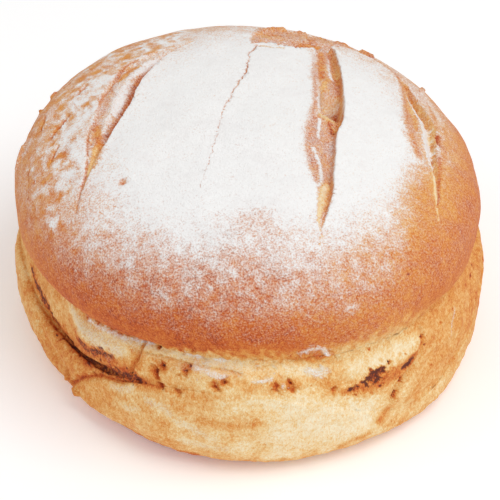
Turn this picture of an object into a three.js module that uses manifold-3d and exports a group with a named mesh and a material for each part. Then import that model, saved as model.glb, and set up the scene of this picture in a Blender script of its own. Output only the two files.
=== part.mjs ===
// A round potato bread loaf in one piece. Its scored dome overhangs a side that burst in the
// oven: a pale torn strip under the lip, a creased seam, and a rolled skirt down to a flat base.
import * as THREE from 'three';
import { mergeVertices } from 'three/addons/utils/BufferGeometryUtils.js';
import Module from 'manifold-3d';

// Sizes are in millimetres. Bearings are degrees round the loaf: 0 is right (+X), 90 is the
// back (+Y), 180 is left and 270 is the front.
const CROWN_HEIGHT = 135;
const DOME_FULLNESS = 2.35;
const SHOULDER_RADIUS = around(118, wave(1, 6, 85), wave(2, 3.4, 134));
const SHOULDER_HEIGHT = around(82, wave(1, 3.5, 294), wave(2, 2.9, 101));
const LIP_DROP = 16;
const LIP_TUCK = around(7.5, wave(1, 2.5, 180), wave(2, 2, 0));
const STRIP_HEIGHT = around(4, swell(30, 214, 39), swell(48, 317, 33));
const STRIP_BULGE_SHARE = 0.06;
const SKIRT_RADIUS = around(120, wave(1, 3, 68), wave(2, 3.4, 134), wave(3, 1.2, 29), wave(4, 2.1, 82));
const SEAM_INSET = around(0.8, swell(7, 212, 36));
const ROLL_RISE = around(0.3, swell(3.7, 216, 28));
const WAIST_SHARE = 0.58;
const FOOT_INSET = 17.5;
const BASE_HEXAGON_RADIUS = 60;

// The crust's gentle unevenness is a sum of ripples, and fades out towards the base.
const RIPPLE_COUNT = 7;
const RIPPLE_HEIGHT = 0.2;
const RIPPLE_LENGTH = 34;
const RIPPLE_LENGTH_STEP = 6;
const RIPPLE_FADE_HEIGHT = 25;
const LOAF_MIDDLE = new THREE.Vector3(0, 0, 50);

// Slashes, each along points of plan x, plan y and half width. On one side the floor drops
// by step, swells to within ridge of the crust, and falls to deep under the other lip.
const SLASHES = {
  left: {
    path: [
      [-25, 74, 0.6], [-36, 66, 3], [-49, 54, 7.5], [-60, 35, 9.8],
      [-65, 13, 8.8], [-71, -12, 5.4], [-75.5, -32, 1.8], [-80, -54, 0.5],
    ],
    step: 1.8, ridge: 0.9, deep: 4.6,
  },
  middle: {
    path: [
      [43, 68, 4], [42.5, 52, 6.6], [43.5, 20, 6.8], [42, 0, 7.4], [37, -13, 8.8],
      [36, -34, 7.8], [37, -51, 5.2], [36, -66, 3], [34.5, -78, 0.5],
    ],
    step: 2.2, ridge: 1.4, deep: 4.8,
  },
  right: {
    path: [
      [78, 54, 0.6], [82, 41, 3.4], [87.5, 12, 6.8], [88.5, -6, 6.6],
      [90.5, -21, 4.3], [92, -33, 2.2], [91.5, -49, 0.5],
    ],
    step: 1.8, ridge: 0.8, deep: 4.2,
  },
  back: {
    path: [[86, 46, 0.8], [70, 70, 4.5], [52, 83, 8], [34, 82, 13], [16, 79, 15], [0, 76, 9], [-12, 73, 1]],
    step: 2.4, ridge: 1.2, deep: 5,
  },
  crack: {
    path: [[6, 63, 1.4], [1, 37, 1.2], [-8, 11, 1.1], [-13, -15, 0.8], [-21, -55, 0.4]],
    step: 0.4, ridge: 0.5, deep: 1.8,
  },
};
const SLASH_STATIONS = 16;
const SLASH_CAP = 9;

// The gas bubble that opened in the middle slash.
const BUBBLE = { x: 44, y: 9, across: 6.2, along: 13, tall: 9, sunk: 2.5 };

// Torn crags of crust along the far edge of the back slash.
const CRAG_COUNT = 9;
const CRAG_SIZE = 4.2;
const CRAG_SPAN = [0.1, 0.85];
const CRAG_SEED = 41;

// Facets of the loaf's rings, from the crown down.
const AROUND = 132;
const DOME_RINGS = 26;
const LIP_RINGS = 4;
const STRIP_RINGS = 4;
const ROLL_RINGS = 4;
const FOOT_RINGS = 3;

const CRUST = new THREE.MeshStandardMaterial({ color: 0xd39a63, roughness: 0.85, metalness: 0 });

// A size that changes round the loaf, as a function of the bearing in radians.
function around(mean, ...terms) {
  return (bearing) => terms.reduce((sum, term) => sum + term(bearing), mean);
}

// A whole number of waves round the loaf, with a peak at the given bearing.
function wave(count, amount, peak) {
  return (bearing) => amount * Math.cos(count * (bearing - THREE.MathUtils.degToRad(peak)));
}

// One local swell round the given bearing.
function swell(amount, peak, spread) {
  return (bearing) => {
    const offset = THREE.MathUtils.euclideanModulo(THREE.MathUtils.radToDeg(bearing) - peak + 180, 360) - 180;
    return amount * Math.exp(-((offset / spread) ** 2));
  };
}

// Height of the smooth dome over a plan point.
function domeHeight(x, y) {
  const bearing = Math.atan2(y, x);
  const reach = Math.min(Math.hypot(x, y) / SHOULDER_RADIUS(bearing), 1);
  const shoulder = SHOULDER_HEIGHT(bearing);
  const rise = (1 - reach ** DOME_FULLNESS) ** (1 / DOME_FULLNESS);
  return shoulder + (CROWN_HEIGHT - shoulder) * rise;
}

// The loaf's section at one bearing, as radius and height for every ring from crown to foot.
function section(bearing) {
  const shoulderRadius = SHOULDER_RADIUS(bearing);
  const shoulder = SHOULDER_HEIGHT(bearing);
  const lipRadius = shoulderRadius - LIP_TUCK(bearing);
  const lip = shoulder - LIP_DROP;
  const skirtRadius = SKIRT_RADIUS(bearing);
  const seamRadius = skirtRadius - SEAM_INSET(bearing);
  const seam = lip - STRIP_HEIGHT(bearing);
  const waist = seam * WAIST_SHARE;
  const points = [];
  for (let i = 1; i <= DOME_RINGS; i++) {
    const angle = (i / DOME_RINGS) * (Math.PI / 2);
    const out = Math.sin(angle) ** (2 / DOME_FULLNESS);
    const up = Math.max(Math.cos(angle), 0) ** (2 / DOME_FULLNESS);
    points.push([shoulderRadius * out, shoulder + (CROWN_HEIGHT - shoulder) * up]);
  }
  for (let i = 1; i <= LIP_RINGS; i++) {
    const angle = (i / LIP_RINGS) * (Math.PI / 2);
    const radius = THREE.MathUtils.lerp(lipRadius, shoulderRadius, Math.cos(angle));
    points.push([radius, shoulder - LIP_DROP * Math.sin(angle)]);
  }
  for (let i = 1; i <= STRIP_RINGS; i++) {
    const share = i / STRIP_RINGS;
    const bulge = STRIP_BULGE_SHARE * (lip - seam) * Math.sin(Math.PI * share);
    const radius = THREE.MathUtils.lerp(lipRadius, seamRadius, share) + bulge;
    points.push([radius, THREE.MathUtils.lerp(lip, seam, share)]);
  }
  for (let i = 1; i <= ROLL_RINGS; i++) {
    const angle = (i / ROLL_RINGS) * (Math.PI / 2);
    const radius = THREE.MathUtils.lerp(seamRadius, skirtRadius, Math.sin(angle));
    const roll = ROLL_RISE(bearing) * Math.sin(2 * angle);
    points.push([radius, THREE.MathUtils.lerp(waist, seam, Math.cos(angle)) + roll]);
  }
  for (let i = 1; i <= FOOT_RINGS; i++) {
    const angle = (i / FOOT_RINGS) * (Math.PI / 2);
    const radius = skirtRadius - FOOT_INSET * (1 - Math.cos(angle));
    points.push([radius, Math.max(waist * (1 - Math.sin(angle)), 0)]);
  }
  return points;
}

// Moves a point of the crust in or out by the loaf's unevenness.
function roughen(point) {
  let sum = 0;
  for (let i = 0; i < RIPPLE_COUNT; i++) {
    const turn = i * 2.4;
    const dip = Math.cos(i * 1.7);
    const along = point.x * Math.cos(turn) + point.y * Math.sin(turn) + point.z * dip;
    sum += Math.sin((2 * Math.PI * along) / (RIPPLE_LENGTH + RIPPLE_LENGTH_STEP * i) + i * i);
  }
  const fade = THREE.MathUtils.smoothstep(point.z, 0, RIPPLE_FADE_HEIGHT);
  const outwards = point.clone().sub(LOAF_MIDDLE).normalize();
  return point.addScaledVector(outwards, RIPPLE_HEIGHT * sum * fade);
}

// Triangles between two rings of vertex numbers, the second ring lying outside or below.
function stitch(inner, outer) {
  const triangles = [];
  let i = 0;
  let j = 0;
  while (i < inner.length || j < outer.length) {
    const nextInner = inner.length > 1 ? (i + 1) / inner.length : Infinity;
    const nextOuter = outer.length > 1 ? (j + 1) / outer.length : Infinity;
    if (Math.min(nextInner, nextOuter) > 1 + 1e-9) break;
    const here = [inner[i % inner.length], outer[j % outer.length]];
    if (nextOuter <= nextInner) {
      j += 1;
      triangles.push(...here, outer[j % outer.length]);
    } else {
      i += 1;
      triangles.push(...here, inner[i % inner.length]);
    }
  }
  return triangles;
}

// The whole loaf without its slashes, as one closed shell of rings.
function loafShell() {
  const vertices = [];
  const rings = [];
  const addRing = (points) => {
    rings.push(points.map((_, i) => vertices.length + i));
    vertices.push(...points);
  };
  const addTurned = (count, place) => {
    const bearings = Array.from({ length: count }, (_, i) => (2 * Math.PI * i) / count);
    addRing(bearings.map((bearing) => {
      const [radius, height] = place(bearing);
      return new THREE.Vector3(radius * Math.cos(bearing), radius * Math.sin(bearing), height);
    }));
  };
  addRing([new THREE.Vector3(0, 0, CROWN_HEIGHT)]);
  const ringCount = section(0).length;
  for (let k = 0; k < ringCount; k++) {
    addTurned(Math.min(6 * (k + 1), AROUND), (bearing) => section(bearing)[k]);
  }
  addTurned(6, () => [BASE_HEXAGON_RADIUS, 0]);
  addRing([new THREE.Vector3(0, 0, 0)]);

  const index = rings.slice(1).flatMap((ring, k) => stitch(rings[k], ring));
  const positions = vertices.flatMap((vertex) => roughen(vertex).toArray());
  const geometry = new THREE.BufferGeometry();
  geometry.setAttribute('position', new THREE.Float32BufferAttribute(positions, 3));
  geometry.setIndex(index);
  return geometry;
}

// A smooth run along plan points, which carries the half width as its third coordinate.
function slashCurve(path) {
  return new THREE.CatmullRomCurve3(path.map((point) => new THREE.Vector3(...point)), false, 'centripetal');
}

// A plan point at one share of a slash, moved sideways, with the run's half width there.
function besideSlash(curve, share, sideways) {
  const { x, y, z: halfWidth } = curve.getPoint(share);
  const { x: alongX, y: alongY } = curve.getTangent(share);
  const length = Math.hypot(alongX, alongY);
  const offset = sideways(halfWidth);
  return { x: x - (alongY / length) * offset, y: y + (alongX / length) * offset, halfWidth };
}

// The solid that cuts a slash: sections across the run, joined from end to end. Positive
// sides lie to the left of the run's direction, where the floor is deep.
function slashCutter({ path, step, ridge, deep }) {
  const curve = slashCurve(path);
  const widest = Math.max(...path.map((point) => point[2]));
  const floor = [[-1, step], [-0.15, ridge], [0.55, deep], [0.9, deep * 0.85]];
  const profile = [[-1, -SLASH_CAP], ...floor, [1, -SLASH_CAP]];
  const vertices = [];
  for (let i = 0; i <= SLASH_STATIONS; i++) {
    for (const [side, depth] of profile) {
      const { x, y, halfWidth } = besideSlash(curve, i / SLASH_STATIONS, (half) => side * half);
      const taper = Math.min(1, 0.15 + (1.2 * halfWidth) / widest);
      const height = domeHeight(x, y) - (depth > 0 ? depth * taper : depth);
      vertices.push(...roughen(new THREE.Vector3(x, y, height)));
    }
  }
  const count = profile.length;
  const index = [];
  for (let i = 0; i < SLASH_STATIONS; i++) {
    for (let k = 0; k < count; k++) {
      const a = i * count + k;
      const b = i * count + ((k + 1) % count);
      index.push(a, b, b + count, a, b + count, a + count);
    }
  }
  const last = SLASH_STATIONS * count;
  for (let k = 1; k < count - 1; k++) {
    index.push(0, k + 1, k);
    index.push(last, last + k, last + k + 1);
  }
  const geometry = new THREE.BufferGeometry();
  geometry.setAttribute('position', new THREE.Float32BufferAttribute(vertices, 3));
  geometry.setIndex(index);
  return geometry;
}

// The hollow left by the opened gas bubble.
function bubbleCutter() {
  const geometry = new THREE.SphereGeometry(1, 16, 10);
  geometry.scale(BUBBLE.across, BUBBLE.along, BUBBLE.tall);
  geometry.translate(BUBBLE.x, BUBBLE.y, domeHeight(BUBBLE.x, BUBBLE.y) - BUBBLE.sunk);
  return geometry;
}

// A seeded stream of numbers from 0 to 1.
function seededDraws(seed) {
  let state = seed;
  return () => {
    state = (state * 16807) % 2147483647;
    return state / 2147483647;
  };
}

// The torn crags, half sunk beside the far edge of the back slash and lying along it.
function crags() {
  const draw = seededDraws(CRAG_SEED);
  const curve = slashCurve(SLASHES.back.path);
  return Array.from({ length: CRAG_COUNT }, (_, i) => {
    const share = THREE.MathUtils.lerp(...CRAG_SPAN, (i + 0.7 * draw()) / CRAG_COUNT);
    const size = CRAG_SIZE * (0.7 + 0.6 * draw());
    const along = curve.getTangent(share);
    const { x, y } = besideSlash(curve, share, (half) => -(half + 0.2 * size));
    const geometry = new THREE.DodecahedronGeometry(size);
    geometry.scale(1.7, 0.7, 0.75);
    geometry.rotateX(draw() - 0.5);
    geometry.rotateZ(Math.atan2(along.y, along.x) + 0.5 * (draw() - 0.5));
    geometry.translate(x, y, domeHeight(x, y) - 0.15 * size);
    return geometry;
  });
}

const wasm = await Module();
wasm.setup();

// A closed geometry as a solid that can be joined and cut.
function solidOf(geometry) {
  const bare = geometry.index ? geometry.clone() : geometry;
  bare.deleteAttribute('normal');
  bare.deleteAttribute('uv');
  const merged = mergeVertices(bare, 1e-4);
  return new wasm.Manifold(new wasm.Mesh({
    numProp: 3,
    vertProperties: new Float32Array(merged.attributes.position.array),
    triVerts: new Uint32Array(merged.index.array),
  }));
}

// The finished solid as a geometry whose box stands centred over the origin.
function geometryOf(solid) {
  const mesh = solid.getMesh();
  const geometry = new THREE.BufferGeometry();
  geometry.setAttribute('position', new THREE.BufferAttribute(mesh.vertProperties, 3));
  geometry.setIndex(new THREE.BufferAttribute(mesh.triVerts, 1));
  geometry.computeBoundingBox();
  const middle = geometry.boundingBox.getCenter(new THREE.Vector3());
  geometry.translate(-middle.x, -middle.y, -geometry.boundingBox.min.z);
  geometry.computeVertexNormals();
  return geometry;
}

// The scored loaf: the shell with its crags, less the slashes, the crack and the bubble.
function scoredLoaf() {
  const craggy = crags().reduce((solid, crag) => solid.add(solidOf(crag)), solidOf(loafShell()));
  const cutters = [...Object.values(SLASHES).map(slashCutter), bubbleCutter()];
  return cutters.reduce((solid, cutter) => solid.subtract(solidOf(cutter)), craggy);
}

const loaf = new THREE.Mesh(geometryOf(scoredLoaf()), CRUST);
loaf.name = 'loaf';

const potatoBread = new THREE.Group();
potatoBread.add(loaf);

export default potatoBread;
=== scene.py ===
"""A round potato bread loaf: floured, scored, and burst open along its side in the oven.

Sizes are in millimetres until a mesh is made. A bearing is in degrees round the loaf: 0 is right
(+X), 90 the back (+Y), 180 left and 270 the front. A zone runs down the outside of the loaf: 0 to
1 is the dome from crown to shoulder, 1 to 2 its lip, 2 to 3 the torn strip, 3 to 4 the roll of
the skirt, 4 to 5 the foot and 5 to 6 the base.
"""

import logging
from collections.abc import Callable
from dataclasses import dataclass
from enum import Enum

import bmesh
import bpy
import numpy as np
from mathutils import Euler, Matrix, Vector


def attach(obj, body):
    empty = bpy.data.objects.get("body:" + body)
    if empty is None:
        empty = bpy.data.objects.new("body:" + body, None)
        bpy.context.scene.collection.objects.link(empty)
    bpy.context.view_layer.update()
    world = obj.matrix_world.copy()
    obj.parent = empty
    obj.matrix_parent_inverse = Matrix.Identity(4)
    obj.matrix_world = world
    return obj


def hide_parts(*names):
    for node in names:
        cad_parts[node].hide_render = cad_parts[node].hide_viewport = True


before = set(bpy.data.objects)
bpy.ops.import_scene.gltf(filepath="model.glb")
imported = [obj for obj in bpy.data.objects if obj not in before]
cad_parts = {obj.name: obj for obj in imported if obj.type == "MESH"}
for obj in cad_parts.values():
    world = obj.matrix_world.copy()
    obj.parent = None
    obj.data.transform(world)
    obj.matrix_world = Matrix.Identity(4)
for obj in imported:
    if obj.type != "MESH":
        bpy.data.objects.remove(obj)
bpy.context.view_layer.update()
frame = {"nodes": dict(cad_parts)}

log = logging.getLogger("potato_bread")

MM = 0.001
BODY = "root"
LOAF_NODE = "loaf"

# Zones at which one stretch of the loaf's outside gives way to the next.
SHOULDER = 1
LIP_EDGE = 2
SEAM = 3
BASE_EDGE = 5

# A place with its height or half width, a run of places, a plan place, the two ends of a change, a
# colour on the screen from 0 to 255, and a socket of a material's node.
Place = tuple[float, float, float]
Run = tuple[Place, ...]
Plan = tuple[float, float]
Span = tuple[float, float]
Screen = tuple[int, int, int]
Socket = bpy.types.NodeSocket


class Paint(Enum):
    """Amounts painted on the crust, each kept as an attribute of the mesh."""

    BAKE = "bake"
    FLOUR = "flour"
    CHAR = "char"
    MOTTLE = "mottle"


class Ground(Enum):
    """How the places of a mark are written down."""

    DOME = "plan x and y"
    SIDE = "bearing and zone"


def smooth(low: float | np.ndarray, high: float | np.ndarray, value: np.ndarray) -> np.ndarray:
    """Rises smoothly from 0 to 1.

    Args:
        low: value at which the rise starts.
        high: value at which the rise ends.
        value: values to look up.

    Returns:
        The share of the rise at each value.
    """
    share = np.clip((value - low) / (high - low), 0.0, 1.0)
    return share * share * (3.0 - 2.0 * share)


def mix(start: float | np.ndarray, end: float | np.ndarray, share: np.ndarray) -> np.ndarray:
    """Goes straight from start at share 0 to end at share 1."""
    return start + (end - start) * share


def smooth_run(places: tuple[tuple[float, ...], ...], per_span: int) -> np.ndarray:
    """Draws a smooth curve through given places.

    Args:
        places: the places that the curve goes through, each of as many numbers.
        per_span: steps between one place and the next.

    Returns:
        Points along the curve, one row each.
    """
    knots = np.array(places, dtype=float)
    knots = np.vstack([2 * knots[0] - knots[1], knots, 2 * knots[-1] - knots[-2]])
    steps = np.arange(per_span)[:, None] / per_span
    spans = []
    for before, start, end, after in zip(knots, knots[1:], knots[2:], knots[3:]):
        bend = 2 * before - 5 * start + 4 * end - after
        twist = 3 * (start - end) + after - before
        spans.append(start + 0.5 * steps * (end - before + steps * (bend + steps * twist)))
    return np.vstack([*spans, knots[-2:-1]])


@dataclass(frozen=True)
class Grain:
    """Seeded smooth noise in space, from about -1 to 1.

    Attributes:
        size: length of one bump.
        seed: number that tells one noise from another.
        octaves: layers of noise, each half the size and strength of the last.
        tall: height of a bump as a multiple of its size.
    """

    size: float
    seed: int
    octaves: int = 1
    tall: float = 1.0

    LAYER_SHIFT = 17.3
    LAYER_SEED = 101
    AXIS_SEED = 7
    GAIN = 1.6
    CORNER_FACTORS = (374761393, 668265263, 1274126177)
    SEED_FACTOR = 2654435761
    SCRAMBLES = ((15, 2246822519), (13, 3266489917))
    LAST_SHIFT = 16
    WORD = 0xFFFFFFFF

    def at(self, points: np.ndarray) -> np.ndarray:
        """Reads the noise.

        Args:
            points: places in millimetres, one row each.

        Returns:
            The noise at each place.
        """
        cells = points / (self.size * np.array([1.0, 1.0, self.tall]))
        total = np.zeros(len(points))
        weights = 0.5 ** np.arange(self.octaves)
        for octave, weight in enumerate(weights):
            finer = cells * 2**octave + self.LAYER_SHIFT * octave
            total += weight * self._layer(finer, self.seed + self.LAYER_SEED * octave)
        return total / weights.sum()

    @staticmethod
    def _layer(cells: np.ndarray, seed: int) -> np.ndarray:
        """Reads one layer of noise.

        Args:
            cells: places in units of one bump.
            seed: number that tells one layer from another.

        Returns:
            The layer's noise at each place.
        """
        corner = np.floor(cells).astype(np.int64)
        share = cells - corner
        ease = share**3 * (share * (share * 6 - 15) + 10)
        total = np.zeros(len(cells))
        for offset in np.ndindex(2, 2, 2):
            weight = np.where(offset, ease, 1 - ease).prod(axis=1)
            slope = [Grain._draws(corner + offset, seed + Grain.AXIS_SEED * axis) for axis in range(3)]
            total += weight * ((share - offset) * np.stack(slope, axis=1)).sum(axis=1)
        return Grain.GAIN * total

    @staticmethod
    def _draws(corner: np.ndarray, seed: int) -> np.ndarray:
        """Draws a fixed number from -1 to 1 for each corner of the noise's lattice.

        Args:
            corner: whole lattice coordinates, one row each.
            seed: number that tells one set of draws from another.

        Returns:
            One draw for each corner.
        """
        mixed = (corner * np.array(Grain.CORNER_FACTORS)).sum(axis=1) + seed * Grain.SEED_FACTOR
        mixed &= Grain.WORD
        for shift, factor in Grain.SCRAMBLES:
            mixed = ((mixed ^ (mixed >> shift)) * factor) & Grain.WORD
        return (mixed ^ (mixed >> Grain.LAST_SHIFT)) / 2.0**31 - 1.0


@dataclass(frozen=True)
class Girth:
    """A size or amount that changes round the loaf.

    Attributes:
        mean: the amount before its changes.
        waves: whole waves round the loaf, each as count, amount and the bearing of a peak.
        swells: local swells, each as amount, bearing and spread in degrees.
    """

    mean: float
    waves: tuple[tuple[float, float, float], ...] = ()
    swells: tuple[tuple[float, float, float], ...] = ()

    def at(self, bearing: np.ndarray) -> np.ndarray:
        """Reads the amount.

        Args:
            bearing: bearings in degrees.

        Returns:
            The amount at each bearing.
        """
        total = np.full(np.shape(bearing), self.mean)
        for count, amount, peak in self.waves:
            total += amount * np.cos(np.radians(count * (bearing - peak)))
        for amount, peak, spread in self.swells:
            offset = (bearing - peak + 180.0) % 360.0 - 180.0
            total += amount * np.exp(-((offset / spread) ** 2))
        return total


@dataclass(frozen=True)
class LoafForm:
    """The smooth loaf, before slashes, tears and marks.

    Attributes:
        crown: height of the dome's top.
        fullness: how square the dome's section is, where 2 is an ellipse.
        shoulder_radius: widest radius of the dome.
        shoulder_height: height of that widest place.
        lip_drop: depth of the lip that curls in under the shoulder.
        lip_tuck: how far the lip curls in.
        strip_height: height of the torn strip under the lip.
        strip_bulge: how far the strip swells out, as a share of its height.
        skirt_radius: widest radius of the skirt.
        seam_inset: how far the seam over the skirt lies inside it.
        roll_rise: how far the skirt's roll swells upward.
        waist_share: height of the skirt's widest place, as a share of the seam's height.
        foot_inset: how far the foot curls in to the base.
        ripple_height: height of each of the crust's ripples.
        ripple_lengths: lengths of those ripples.
        ripple_turn: turn from one ripple's heading to the next, in radians.
        ripple_tilt: turn from one ripple's slope to the next, in radians.
        ripple_middle: height of the place that they push the crust away from.
        ripple_fade: height above the base over which they grow.
    """

    crown: float = 135.0
    fullness: float = 2.35
    shoulder_radius: Girth = Girth(118.0, waves=((1, 6.0, 85.0), (2, 3.4, 134.0)))
    shoulder_height: Girth = Girth(82.0, waves=((1, 3.5, 294.0), (2, 2.9, 101.0)))
    lip_drop: float = 16.0
    lip_tuck: Girth = Girth(7.5, waves=((1, 2.5, 180.0), (2, 2.0, 0.0)))
    strip_height: Girth = Girth(4.0, swells=((30.0, 214.0, 39.0), (48.0, 317.0, 33.0)))
    strip_bulge: float = 0.06
    skirt_radius: Girth = Girth(
        120.0, waves=((1, 3.0, 68.0), (2, 3.4, 134.0), (3, 1.2, 29.0), (4, 2.1, 82.0))
    )
    seam_inset: Girth = Girth(0.8, swells=((7.0, 212.0, 36.0),))
    roll_rise: Girth = Girth(0.3, swells=((3.7, 216.0, 28.0),))
    waist_share: float = 0.58
    foot_inset: float = 17.5
    ripple_height: float = 0.2
    ripple_lengths: tuple[float, ...] = (34.0, 40.0, 46.0, 52.0, 58.0, 64.0, 70.0)
    ripple_turn: float = 2.4
    ripple_tilt: float = 1.7
    ripple_middle: float = 50.0
    ripple_fade: float = 25.0

    def dome_height(self, plan: np.ndarray) -> np.ndarray:
        """Height of the smooth dome.

        Args:
            plan: plan places, one row of x and y each.

        Returns:
            The dome's height over each place.
        """
        bearing = np.degrees(np.arctan2(plan[:, 1], plan[:, 0]))
        reach = np.hypot(plan[:, 0], plan[:, 1]) / self.shoulder_radius.at(bearing)
        shoulder = self.shoulder_height.at(bearing)
        rise = (1 - np.clip(reach, 0, 1) ** self.fullness) ** (1 / self.fullness)
        return shoulder + (self.crown - shoulder) * rise

    def place(self, bearing: np.ndarray, zone: np.ndarray) -> np.ndarray:
        """Finds points on the loaf.

        Args:
            bearing: bearings in degrees.
            zone: zones down the outside of the loaf.

        Returns:
            The points, one row each.
        """
        radius, height = self._section(bearing, zone)
        turn = np.radians(bearing)
        return self._rippled(np.stack([radius * np.cos(turn), radius * np.sin(turn), height], axis=1))

    def _section(self, bearing: np.ndarray, zone: np.ndarray) -> tuple[np.ndarray, np.ndarray]:
        """Radius and height of the loaf's section.

        Args:
            bearing: bearings in degrees.
            zone: zones down the outside of the loaf.

        Returns:
            The radii and the heights.
        """
        shoulder_radius = self.shoulder_radius.at(bearing)
        shoulder = self.shoulder_height.at(bearing)
        tuck = self.lip_tuck.at(bearing)
        lip_radius = shoulder_radius - tuck
        lip = shoulder - self.lip_drop
        strip = self.strip_height.at(bearing)
        seam = lip - strip
        skirt_radius = self.skirt_radius.at(bearing)
        seam_radius = skirt_radius - self.seam_inset.at(bearing)
        waist = seam * self.waist_share

        share = [np.clip(zone - start, 0, 1) for start in range(BASE_EDGE + 1)]
        sine = [np.sin(part * np.pi / 2) for part in share]
        cosine = [np.maximum(np.cos(part * np.pi / 2), 0) for part in share]
        power = 2 / self.fullness
        bulge = self.strip_bulge * strip * np.sin(np.pi * share[2])
        roll = mix(waist, seam, cosine[3]) + self.roll_rise.at(bearing) * np.sin(np.pi * share[3])
        sections = (
            (shoulder_radius * sine[0] ** power, shoulder + (self.crown - shoulder) * cosine[0] ** power),
            (lip_radius + tuck * cosine[1], shoulder - self.lip_drop * sine[1]),
            (mix(lip_radius, seam_radius, share[2]) + bulge, lip - strip * share[2]),
            (mix(seam_radius, skirt_radius, sine[3]), roll),
            (skirt_radius - self.foot_inset * (1 - cosine[4]), waist * (1 - sine[4])),
            ((skirt_radius - self.foot_inset) * (1 - share[5]), np.zeros_like(zone)),
        )
        inside = [zone <= end for end in range(1, BASE_EDGE + 1)]
        radius = np.select(inside, [part[0] for part in sections[:-1]], sections[-1][0])
        height = np.select(inside, [part[1] for part in sections[:-1]], sections[-1][1])
        return radius, height

    def _rippled(self, points: np.ndarray) -> np.ndarray:
        """Moves points in or out by the crust's ripples.

        Args:
            points: points of the smooth section.

        Returns:
            The points on the rippled loaf.
        """
        total = np.zeros(len(points))
        for i, length in enumerate(self.ripple_lengths):
            turn = self.ripple_turn * i
            slant = np.array([np.cos(turn), np.sin(turn), np.cos(self.ripple_tilt * i)])
            total += np.sin(2 * np.pi * (points @ slant) / length + i * i)
        outward = points - [0.0, 0.0, self.ripple_middle]
        outward /= np.linalg.norm(outward, axis=1, keepdims=True)
        push = self.ripple_height * total * smooth(0.0, self.ripple_fade, points[:, 2])
        return points + outward * push[:, None]


@dataclass
class Skin:
    """The loaf's surface while it is worked on, one entry for each vertex.

    Attributes:
        form: the smooth loaf.
        points: places on the smooth loaf.
        normals: directions out of it.
        bearing: bearings of the places.
        zone: zones of the places.
        lift: how far each place is raised along its normal.
        slide: how far each place is shifted sideways.
        cut: how far each place lies inside a slash, from 0 to 1.
        paint: what is painted on the crust.
    """

    form: LoafForm
    points: np.ndarray
    normals: np.ndarray
    bearing: np.ndarray
    zone: np.ndarray
    lift: np.ndarray
    slide: np.ndarray
    cut: np.ndarray
    paint: dict[Paint, np.ndarray]

    def cover(
        self,
        paint: Paint,
        amount: float | np.ndarray,
        share: np.ndarray,
        near: np.ndarray | slice = slice(None),
    ) -> None:
        """Brings one paint towards an amount.

        Args:
            paint: the paint.
            amount: what it comes to where share is 1.
            share: how far it comes there.
            near: numbers of the vertices that are painted, which are all of them if it is left out.
        """
        layer = self.paint[paint]
        layer[near] += share * (amount - layer[near])

    def worked(self) -> np.ndarray:
        """Finds where the places come to lie, none of them under the base.

        Returns:
            The places after every raise and shift.
        """
        points = self.points + self.normals * self.lift[:, None] + self.slide
        points[:, 2] = np.maximum(points[:, 2], 0.0)
        return points


@dataclass(frozen=True)
class CrustSkin:
    """The unevenness of the whole crust.

    Attributes:
        lumps: noises, each with its height, that shape the crust.
        base_fade: height above the base over which they grow.
    """

    lumps: tuple[tuple[Grain, float], ...] = (
        (Grain(30.0, 11, 2), 0.9),
        (Grain(11.0, 12, 2), 0.3),
        (Grain(3.4, 13, 2), 0.16),
    )
    base_fade: float = 5.0

    def press(self, skin: Skin) -> None:
        """Raises and sinks the crust.

        Args:
            skin: the surface that is worked on.
        """
        fade = smooth(0.0, self.base_fade, skin.points[:, 2])
        for grain, height in self.lumps:
            skin.lift += height * fade * grain.at(skin.points)


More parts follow.
